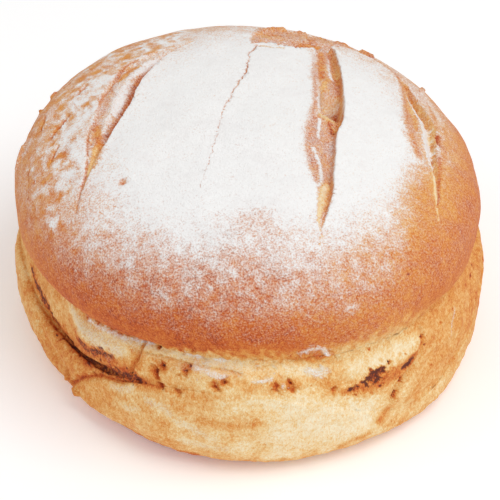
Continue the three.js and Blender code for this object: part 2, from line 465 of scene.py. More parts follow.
@dataclass(frozen=True)
class Dome:
    """The top crust: its browning and its flour.

    Attributes:
        crown_bake: browning at the top.
        rim_bake: browning round the shoulder and the lip.
        rim_from: zone at which the rim's browning starts.
        rim_full: zone at which it is full.
        flour_from: zone at which the flour starts to thin out.
        flour_to: zone at which it ends.
        flour_fall: how much faster the flour thins out where it starts to.
        flour_most: flour at the top.
        flour_least: flour on the bare crust.
        patches: noises, each with its strength, that make the flour patchy.
        bank_line: line along the left slash, as plan y and x, left of which the flour is patchier.
        bank_width: width over which that sets in.
        bank_flour: how much less flour there is there.
        bank_patches: how patchy the flour is there.
        edge_patches: how patchy it is where it thins out.
        least_patches: how patchy it is at least.
        mottle: how uneven the browning is.
    """

    crown_bake: Girth = Girth(0.58, swells=((0.26, 258.0, 42.0), (-0.06, 325.0, 25.0)))
    rim_bake: Girth = Girth(
        0.66, swells=((0.14, 254.0, 32.0), (0.07, 222.0, 16.0), (-0.04, 180.0, 20.0), (0.06, 352.0, 26.0))
    )
    rim_from: float = 0.6
    rim_full: float = 0.85
    flour_from: Girth = Girth(
        0.36,
        swells=(
            (0.06, 330.0, 35.0), (-0.16, 165.0, 40.0), (-0.12, 105.0, 40.0), (0.07, 237.0, 18.0),
            (-0.03, 270.0, 14.0),
        ),
    )
    flour_to: Girth = Girth(1.0, swells=((-0.42, 334.0, 21.0), (-0.22, 9.0, 16.0)))
    flour_fall: float = 1.4
    flour_most: float = 1.15
    flour_least: Girth = Girth(0.08, swells=((0.12, 188.0, 26.0),))
    patches: tuple[tuple[Grain, float], ...] = (
        (Grain(24.0, 21, 2), 0.2),
        (Grain(9.0, 22, 2), 0.26),
        (Grain(4.0, 23, 3), 0.55),
    )
    bank_line: tuple[Plan, ...] = (
        (-70.0, -110.0), (-54.0, -80.0), (13.0, -70.0), (35.0, -66.0), (60.0, -46.0), (74.0, -25.0),
    )
    bank_width: float = 12.0
    bank_flour: float = 0.12
    bank_patches: float = 3.2
    edge_patches: float = 3.0
    least_patches: float = 0.15
    mottle: float = 0.75

    def press(self, skin: Skin) -> None:
        """Paints the dome, and the rest of the crust as its rim.

        Args:
            skin: the surface that is worked on.
        """
        rim = smooth(self.rim_from, self.rim_full, skin.zone)
        crown_bake = self.crown_bake.at(skin.bearing)
        skin.paint[Paint.BAKE] = mix(crown_bake, self.rim_bake.at(skin.bearing), rim)
        start = self.flour_from.at(skin.bearing)
        thin = np.clip((skin.zone - start) / (self.flour_to.at(skin.bearing) - start), 0.0, 1.0)
        line = np.interp(skin.points[:, 1], *np.transpose(self.bank_line))
        bank = smooth(0.0, self.bank_width, line - skin.points[:, 0])
        flour = mix(self.flour_least.at(skin.bearing), self.flour_most, (1 - thin) ** self.flour_fall)
        flour -= self.bank_flour * bank
        patchy = np.maximum(self.edge_patches * thin * (1 - thin), self.bank_patches * bank * (1 - thin))
        patchy = np.maximum(patchy, self.least_patches)
        for grain, strength in self.patches:
            flour += strength * grain.at(skin.points) * patchy
        skin.paint[Paint.FLOUR] = flour
        skin.paint[Paint.MOTTLE] = np.full(len(skin.zone), self.mottle)


@dataclass(frozen=True)
class TornStrip:
    """The pale strip of torn crumb under the lip, where the side burst.

    Attributes:
        bake: browning round the strip.
        fade_from: zone at which the dome's browning starts to give way.
        fade_to: zone at which the strip's own browning is reached.
        lip_dust: flour on the lip over the strip.
        dust: flour on the strip's upper half, where a negative amount keeps stray specks off it.
        open_from: strip height below which nothing is torn.
        open_full: strip height from which it is torn all through.
        fibres: noise of the torn fibres, which run up and down.
        fibre_height: how far the fibres stand out.
        ledges: noise of the ledges between tears, which run sideways.
        ledge_height: how far the ledges stand out.
        fray: noise that frays the edge between dome and strip.
        fray_reach: how far it frays that edge, in zones.
        fringe: noise of the lip's ragged lower edge.
        fringe_reach: how far that edge wanders up and down.
        seam_depth: depth of the crease along the seam.
        seam_half: half width of that crease, in zones.
        pillow: how far the strip swells out between its creases.
        mottle: how uneven the browning is.
        torn_from: zones over which the tearing sets in.
        torn_to: zones over which it ends.
        fringe_from: zones over which the wandering of the lip's edge sets in.
        fringe_to: zones over which it ends.
        fray_from: zones over which the fraying sets in.
        lip_dust_from: zones over which the lip's flour sets in.
        dust_from: zones over which the strip's flour sets in.
        dust_to: zones over which it ends.
        mottle_from: zones over which the strip's own unevenness sets in.
    """

    bake: Girth = Girth(
        0.5,
        swells=(
            (-0.04, 208.0, 14.0), (-0.16, 261.0, 13.0), (-0.1, 278.0, 20.0), (-0.14, 304.0, 14.0),
            (0.05, 352.0, 16.0),
        ),
    )
    fade_from: Girth = Girth(1.8, swells=((-0.6, 267.0, 18.0), (-0.7, 304.0, 22.0)))
    fade_to: Girth = Girth(2.12, swells=((-0.28, 265.0, 14.0), (-0.25, 304.0, 20.0)))
    lip_dust: Girth = Girth(-0.24, swells=((0.24, 300.0, 16.0),))
    dust: Girth = Girth(-0.6, swells=((0.75, 230.0, 16.0), (0.78, 264.0, 18.0)))
    open_from: float = 5.0
    open_full: float = 14.0
    fibres: Grain = Grain(3.6, 31, 2, tall=3.6)
    fibre_height: float = 0.7
    ledges: Grain = Grain(22.0, 32, 2, tall=0.3)
    ledge_height: float = 1.3
    fray: Grain = Grain(3.6, 33, 3, tall=1.8)
    fray_reach: float = 0.7
    fringe: Grain = Grain(7.0, 34, 3)
    fringe_reach: float = 2.2
    seam_depth: Girth = Girth(0.0, swells=((0.6, 214.0, 26.0),))
    seam_half: float = 0.08
    pillow: Girth = Girth(0.0, swells=((4.0, 226.0, 14.0), (3.0, 262.0, 18.0)))
    mottle: float = 1.1
    torn_from: Span = (1.75, 2.15)
    torn_to: Span = (2.95, 3.3)
    fringe_from: Span = (1.3, 1.8)
    fringe_to: Span = (2.0, 2.3)
    fray_from: Span = (0.9, 1.3)
    lip_dust_from: Span = (0.84, 1.2)
    dust_from: Span = (1.8, 2.05)
    dust_to: Span = (2.3, 2.7)
    mottle_from: Span = (1.5, 2.1)

    def press(self, skin: Skin) -> None:
        """Tears the strip and paints it.

        Args:
            skin: the surface that is worked on.
        """
        torn = smooth(self.open_from, self.open_full, skin.form.strip_height.at(skin.bearing))
        within = torn * smooth(*self.torn_from, skin.zone) * (1 - smooth(*self.torn_to, skin.zone))
        skin.lift += within * self.fibre_height * self.fibres.at(skin.points)
        skin.lift += within * self.ledge_height * self.ledges.at(skin.points)
        crease = np.exp(-(((skin.zone - SEAM) / self.seam_half) ** 2))
        skin.lift -= self.seam_depth.at(skin.bearing) * torn * crease
        puffed = np.sin(np.pi * np.clip(skin.zone - LIP_EDGE, 0.0, 1.0))
        skin.lift += self.pillow.at(skin.bearing) * puffed
        edge = torn * smooth(*self.fringe_from, skin.zone) * (1 - smooth(*self.fringe_to, skin.zone))
        skin.slide[:, 2] += self.fringe_reach * edge * self.fringe.at(skin.points * [1.0, 1.0, 0.0])

        fray = self.fray_reach * self.fray.at(skin.points)
        frayed = skin.zone + fray * smooth(*self.fray_from, skin.zone)
        fade = smooth(self.fade_from.at(skin.bearing), self.fade_to.at(skin.bearing), frayed)
        skin.cover(Paint.BAKE, self.bake.at(skin.bearing), fade)
        dust = mix(self.dust.at(skin.bearing), self.dust.mean, smooth(*self.dust_to, frayed))
        skin.cover(Paint.FLOUR, self.lip_dust.at(skin.bearing), smooth(*self.lip_dust_from, frayed))
        skin.cover(Paint.FLOUR, dust, smooth(*self.dust_from, frayed))
        skin.cover(Paint.MOTTLE, self.mottle, smooth(*self.mottle_from, skin.zone))


@dataclass(frozen=True)
class Skirt:
    """The rolled skirt below the seam, down to the base.

    Attributes:
        bake: browning round the skirt.
        base_bake: browning of the base.
        edge_bake_and_shade: browning of the band along the bottom edge, with painted shade where it darkens
            towards the front left.
        edge_height: height of that band.
        edge_fade: shares of that height over which it ends.
        edge_share: how far it hides the skirt's own browning.
        wrinkles: noise of the skirt's wrinkles, which run sideways.
        wrinkle_height: how far the wrinkles stand out.
        stretch: noise of the stretch marks, which run up and down.
        stretch_height: how far the stretch marks stand out.
        blotches: noise of the paler and browner patches.
        blotch_bake: how far the browning swings between them.
        wrinkle_from: zones over which the wrinkles and the stretch marks set in.
        wrinkle_fade: height above the base over which they grow.
        bake_from: zones over which the skirt's browning sets in.
        edge_from: zones over which the band along the bottom edge sets in.
        base_from: zones over which the browning of the base sets in.
    """

    bake: Girth = Girth(
        0.52,
        swells=(
            (-0.32, 287.0, 24.0), (-0.14, 322.0, 16.0), (-0.07, 334.0, 9.0), (-0.1, 182.0, 16.0),
            (0.06, 358.0, 14.0), (-0.08, 271.0, 8.0), (-0.08, 246.0, 7.0), (-0.04, 240.0, 16.0),
            (0.04, 216.0, 10.0),
        ),
    )
    base_bake: float = 0.6
    # The band's browning is the crust's own; its strong swell towards the front left is painted shade on
    # the skirt's lower edge.
    edge_bake_and_shade: Girth = Girth(0.56, swells=((0.34, 243.0, 22.0), (-0.1, 288.0, 16.0)))
    edge_height: float = 13.0
    edge_fade: Span = (0.4, 1.0)
    edge_share: float = 0.8
    wrinkles: Grain = Grain(16.0, 41, 3, tall=0.4)
    wrinkle_height: float = 1.0
    stretch: Grain = Grain(3.6, 42, 2, tall=3.0)
    stretch_height: float = 0.6
    blotches: Grain = Grain(12.0, 43, 3, tall=0.8)
    blotch_bake: float = 0.16
    wrinkle_from: Span = (3.05, 3.4)
    wrinkle_fade: float = 8.0
    bake_from: Span = (2.9, 3.15)
    edge_from: Span = (3.5, 4.0)
    base_from: Span = (4.9, 5.02)

    def press(self, skin: Skin) -> None:
        """Wrinkles the skirt and paints it.

        Args:
            skin: the surface that is worked on.
        """
        height = skin.points[:, 2]
        within = smooth(*self.wrinkle_from, skin.zone) * smooth(0.0, self.wrinkle_fade, height)
        skin.lift += within * self.wrinkle_height * self.wrinkles.at(skin.points)
        skin.lift += within * self.stretch_height * self.stretch.at(skin.points)
        blotched = self.bake.at(skin.bearing) + self.blotch_bake * self.blotches.at(skin.points)
        skin.cover(Paint.BAKE, blotched, smooth(*self.bake_from, skin.zone))
        fade = 1 - smooth(*self.edge_fade, height / self.edge_height)
        edge = smooth(*self.edge_from, skin.zone) * fade
        skin.cover(Paint.BAKE, self.edge_bake_and_shade.at(skin.bearing), self.edge_share * edge)
        skin.cover(Paint.BAKE, self.base_bake, smooth(*self.base_from, skin.zone))


@dataclass(frozen=True)
class CutPaint:
    """What is painted along the floor of a slash.

    Attributes:
        floor_bake: browning of the floor.
        wall_bake_and_shade: browning under the deep lip, which, where it is darker than the floor's, is
            painted shade of the lip.
        floor_flour: flour on the floor.
        wall_flour: flour under the deep lip.
        mottle: how uneven the browning is.
    """

    floor_bake: float
    wall_bake_and_shade: float
    floor_flour: float
    wall_flour: float
    mottle: float = 1.3


@dataclass(frozen=True)
class Slash:
    """A slash in the dome, deep under the lip on the left of its run.

    Attributes:
        name: which slash it is.
        path: the run, as places of plan x, plan y and half width.
        step: how far the floor lies below the shallow edge.
        ridge: how far the floor's swelling lies below the crust.
        deep: how far the floor falls under the deep lip.
        paint: what is painted on the floor.
        ear: how far the deep lip is raised.
        overhang: how far the deep lip leans over the floor.
        shallow_wall: width of the wall at the shallow edge.
        deep_wall: width of the wall under the deep lip.
        shallow_fade: width over which the floor's paint comes in at the shallow edge.
        bleed: how far the floor's paint reaches past the edges.
        ragged: how far the edges wander.
        wander: how far the run wanders sideways.
    """

    name: str
    path: Run
    step: float
    ridge: float
    deep: float
    paint: CutPaint
    ear: float = 0.8
    overhang: float = 0.7
    shallow_wall: float = 1.4
    deep_wall: float = 1.5
    shallow_fade: float = 0.6
    bleed: float = 0.0
    ragged: float = 0.6
    wander: float = 0.0

    REACH = 14.0
    STEPS = 14
    LEAST_HALF = 0.1
    SWAYS = Grain(4.0, 54, 2)
    RAGS = Grain(7.0, 51, 2)
    FINE_RAGS = Grain(2.2, 52)
    FINE_RAG_SHARE = 0.25
    RAG_HALVES = (0.4, 4.0)
    CRUMBS = Grain(2.6, 53, 2)
    CRUMB_HEIGHT = 0.8
    FLOOR_STOPS = (-1.0, -0.15, 0.5, 0.85, 1.0)
    FOOT_SHARE = 0.85
    END_DEPTH = 0.15
    END_RISE = 1.2
    EAR_REACH = 4.0
    SHALLOW_EAR = 0.2
    LEAN_REACH = 3.0
    DEEP_FADE = 1.0
    UNDER_LIP = (0.15, 0.75)

    def near(self, skin: Skin) -> np.ndarray:
        """Picks the vertices that the slash may touch.

        Args:
            skin: the surface that is worked on.

        Returns:
            The numbers of those vertices.
        """
        run = np.array(self.path)
        low = run[:, :2].min(axis=0) - self.REACH - run[:, 2].max()
        high = run[:, :2].max(axis=0) + self.REACH + run[:, 2].max()
        plan = skin.points[:, :2]
        return np.flatnonzero((skin.zone <= SHOULDER) & ((plan > low) & (plan < high)).all(axis=1))

    def lie(self, points: np.ndarray) -> tuple[np.ndarray, np.ndarray, np.ndarray]:
        """Finds how points lie to the run.

        Args:
            points: places on the loaf, one row each.

        Returns:
            The distance to the left of the run, the half width there, and the plan direction to
            the left.
        """
        run = smooth_run(self.path, self.STEPS)
        plan = points[:, :2]
        gaps = ((plan[:, None, :] - run[None, :, :2]) ** 2).sum(axis=2)
        nearest = np.argmin(gaps, axis=1)
        ahead = np.gradient(run[:, :2], axis=0)
        ahead /= np.linalg.norm(ahead, axis=1, keepdims=True)
        left = np.stack([-ahead[:, 1], ahead[:, 0]], axis=1)[nearest]
        offset = plan - run[nearest, :2]
        side = (offset * left).sum(axis=1) + self.wander * self.SWAYS.at(points)
        past = np.abs((offset * ahead[nearest]).sum(axis=1))
        frayed = self.RAGS.at(points) + self.FINE_RAG_SHARE * self.FINE_RAGS.at(points)
        half = np.maximum(run[nearest, 2], self.LEAST_HALF)
        half = half + self.ragged * frayed * smooth(*self.RAG_HALVES, half)
        ends = (nearest == 0) | (nearest == len(run) - 1)
        return side, np.where(ends, half - past, half), left

    def inside(self, skin: Skin) -> tuple[np.ndarray, np.ndarray]:
        """Finds how far inside the slash the vertices round it lie.

        Args:
            skin: the surface that is worked on.

        Returns:
            The numbers of those vertices, and how far each lies inside the slash's edge.
        """
        near = self.near(skin)
        side, half, _ = self.lie(skin.points[near])
        return near, half - np.abs(side)

    def press(self, skin: Skin) -> None:
        """Cuts the slash and paints its floor.

        Args:
            skin: the surface that is worked on.
        """
        near = self.near(skin)
        points = skin.points[near]
        side, half, left = self.lie(points)
        inside = half - np.abs(side)
        across = np.clip(side / np.maximum(half, self.LEAST_HALF), -1.0, 1.0)
        widest = max(place[2] for place in self.path)
        taper = np.minimum(1.0, self.END_DEPTH + self.END_RISE * np.maximum(half, 0.0) / widest)
        on_deep = side > 0
        wall = smooth(0.0, np.where(on_deep, self.deep_wall, self.shallow_wall), inside)

        depths = (self.step, self.ridge, self.deep, self.deep, self.FOOT_SHARE * self.deep)
        floor = np.interp(across, self.FLOOR_STOPS, depths) - self.CRUMB_HEIGHT * self.CRUMBS.at(points)
        away = np.maximum(-inside, 0.0)
        raised = np.where(on_deep, 1.0, self.SHALLOW_EAR)
        lip = taper * (1 - wall) * np.exp(-away / self.EAR_REACH) * raised
        skin.lift[near] += self.ear * lip - taper * wall * floor
        lean = self.overhang * taper * (1 - wall) * np.exp(-away / self.LEAN_REACH) * on_deep
        skin.slide[near, :2] -= left * lean[:, None]

        fade = np.where(on_deep, self.DEEP_FADE - self.bleed, self.shallow_fade)
        share = smooth(-self.bleed, fade, inside)
        skin.cut[near] = np.maximum(skin.cut[near], share)
        # Under the deep lip the wall's paint takes over; where it is darker than the floor's, it is painted
        # shade of the lip.
        under = smooth(*self.UNDER_LIP, across)
        cut = self.paint
        skin.cover(Paint.BAKE, mix(cut.floor_bake, cut.wall_bake_and_shade, under), share, near)
        skin.cover(Paint.FLOUR, mix(cut.floor_flour, cut.wall_flour, under), share, near)
        skin.cover(Paint.MOTTLE, cut.mottle, share, near)


@dataclass(frozen=True)
class Bubble:
    """The gas bubble that opened in the middle slash.

    Attributes:
        middle: plan place of the bubble.
        across: half width of its mouth.
        along: half length of its mouth.
        depth: depth of the hollow at its front.
        back_depth: depth of the hollow at its back.
        back_from: shares of its half length over which the back's depth sets in.
        bake: browning of its smooth inside.
        flour: flour on its inside.
        paint_from: shares of its reach over which those set in.
    """

    middle: Plan = (43.4, 11.5)
    across: float = 6.6
    along: float = 12.5
    depth: float = 11.0
    back_depth: float = 6.0
    back_from: Span = (-0.2, 0.9)
    bake: float = 0.5
    flour: float = 0.5
    paint_from: Span = (1.02, 0.9)

    def press(self, skin: Skin) -> None:
        """Hollows the bubble out and paints it.

        Args:
            skin: the surface that is worked on.
        """
        plan = skin.points[:, :2] - np.array(self.middle)
        reach = np.hypot(plan[:, 0] / self.across, plan[:, 1] / self.along)
        reach = np.where(skin.zone <= SHOULDER, reach, np.inf)
        hollow = np.sqrt(np.clip(1 - reach**2, 0.0, 1.0))
        back = smooth(*self.back_from, plan[:, 1] / self.along)
        skin.lift -= mix(self.depth, self.back_depth, back) * hollow
        inside = smooth(*self.paint_from, reach)
        skin.cover(Paint.BAKE, self.bake, inside)
        skin.cover(Paint.FLOUR, self.flour, inside)


@dataclass(frozen=True)
class Marks:
    """Marks of one kind on the crust.

    Attributes:
        name: what the marks are.
        ground: how their places are written down.
        runs: the marks, each a run of one or more places with the half width at each.
        lift: how far a mark stands out of the crust, or sinks into it if negative.
        bake: browning inside a mark, which in the dark creases, cracks, folds and holes is also painted
            shade, or None to leave it.
        flour: flour inside a mark, or None to leave it.
        char: scorching inside a mark, which in the dark holes is painted shade, or None to leave it.
        core: share of a mark's half width that has its full effect.
        ragged: how far noise eats into a mark's edge.
        in_cut: whether the marks end where the slash that they lie in ends.
    """

    name: str
    ground: Ground
    runs: tuple[Run, ...]
    lift: float = 0.0
    bake: float | None = None
    flour: float | None = None
    char: float | None = None
    core: float = 0.0
    ragged: float = 0.9
    in_cut: bool = False

    STEPS = 16
    RAGS = Grain(2.4, 61, 2)
    REACH = 2.2
    MARGIN = 1.0

    def run_points(self, run: Run, form: LoafForm) -> np.ndarray:
        """Finds a run on the loaf.

        Args:
            run: the run's places, each with its half width.
            form: the smooth loaf.

        Returns:
            Points along the run, one row of x, y, z and half width each.
        """
        places = smooth_run(run, self.STEPS) if len(run) > 1 else np.array(run, dtype=float)
        if self.ground is Ground.DOME:
            height = form.dome_height(places[:, :2])
            return np.column_stack([places[:, :2], height, places[:, 2]])
        return np.column_stack([form.place(places[:, 0], places[:, 1]), places[:, 2]])

    def cover_of(self, points: np.ndarray, line: np.ndarray) -> np.ndarray:
        """Finds how far points lie inside a run.

        Args:
            points: places on the loaf.
            line: points along the run, with their half widths.

        Returns:
            1 at the run's middle, 0 outside it.
        """
        gaps = np.linalg.norm(points[:, None, :] - line[None, :, :3], axis=2) / line[None, :, 3]
        edge = 1 + self.ragged * self.RAGS.at(points)
        return 1 - smooth(self.core, 1.0, gaps.min(axis=1) * edge)

    def near(self, skin: Skin, line: np.ndarray) -> np.ndarray:
        """Picks the vertices that a run may touch.

        Args:
            skin: the surface that is worked on.
            line: points along the run, with their half widths.

        Returns:
            The numbers of those vertices.
        """
        reach = self.REACH * line[:, 3].max() + self.MARGIN
        low = line[:, :3].min(axis=0) - reach
        high = line[:, :3].max(axis=0) + reach
        return np.flatnonzero(((skin.points > low) & (skin.points < high)).all(axis=1))

    def press(self, skin: Skin) -> None:
        """Presses the marks into the crust and paints them.

        Args:
            skin: the surface that is worked on.
        """
        amounts = {Paint.BAKE: self.bake, Paint.FLOUR: self.flour, Paint.CHAR: self.char}
        for run in self.runs:
            line = self.run_points(run, skin.form)
            near = self.near(skin, line)
            share = self.cover_of(skin.points[near], line)
            if self.in_cut:
                share *= skin.cut[near]
            skin.lift[near] += self.lift * share
            for paint, amount in amounts.items():
                if amount is not None:
                    skin.cover(paint, amount, share, near)


SLASHES = (
    Slash(
        "left_slash",
        (
            (-25, 74, 0.6), (-36, 66, 3), (-49, 54, 7.5), (-60, 35, 9.8),
            (-65, 13, 8.8), (-71, -12, 5.4), (-75.5, -32, 1.8), (-80, -54, 0.5),
        ),
        step=1.5, ridge=0.9, deep=4.6,
        # The darker browning under the deep lip is painted shade of the lip.
        paint=CutPaint(floor_bake=0.64, wall_bake_and_shade=0.84, floor_flour=0.68, wall_flour=0.2),
        deep_wall=2.6,
    ),
    Slash(
        "middle_slash",
        (
            (41.5, 68, 6), (41.5, 52, 8), (43, 20, 7.2), (42, 0, 7.4), (37, -13, 8.8),
            (36, -34, 7.8), (37, -51, 5.2), (36, -66, 3), (34.5, -78, 0.5),
        ),
        step=1.6, ridge=1.4, deep=4.4,
        paint=CutPaint(floor_bake=0.62, wall_bake_and_shade=0.62, floor_flour=0.42, wall_flour=0.1),
        shallow_wall=3.5, deep_wall=2.2, shallow_fade=3.0,
    ),
    Slash(
        "right_slash",
        (
            (78, 54, 0.6), (82, 41, 3.4), (87.5, 12, 6.8), (88.5, -6, 6.6),
            (90.5, -21, 4.3), (92, -33, 2.2), (91.5, -49, 0.5),
        ),
        step=1.6, ridge=0.8, deep=4.2,
        paint=CutPaint(floor_bake=0.5, wall_bake_and_shade=0.5, floor_flour=0.42, wall_flour=0.08),
        shallow_wall=3.5, deep_wall=2.2, shallow_fade=3.0,
    ),
    Slash(
        "back_slash",
        (
            (86, 46, 0.8), (70, 70, 4.5), (54, 82, 7.5), (38, 81, 14), (24, 79.5, 16.5),
            (12, 76, 11), (6, 71, 6), (3, 66, 1),
        ),
        step=1.8, ridge=1.0, deep=3.8,
        paint=CutPaint(floor_bake=0.64, wall_bake_and_shade=0.64, floor_flour=0.42, wall_flour=0.6),
        overhang=0.5, shallow_wall=3.0, shallow_fade=3.0, ragged=1.2,
    ),
    Slash(
        "long_crack",
        (
            (6, 63, 0.6), (2, 50, 0.3), (1, 37, 0.4), (-3, 24, 0.4), (-7, 14, 0.35), (-11, 0, 0.25),
            (-13, -15, 0.2), (-17, -36, 0.14), (-21, -55, 0.1),
        ),
        step=0.6, ridge=0.9, deep=1.0,
        # The crack's dark floor is bare crust, darkened further as painted shade inside the crack.
        paint=CutPaint(floor_bake=0.8, wall_bake_and_shade=0.8, floor_flour=0.0, wall_flour=0.0),
        ear=0.2, overhang=0.0, shallow_wall=0.4, deep_wall=0.4, bleed=0.4, ragged=0.2, wander=1.4,
    ),
)

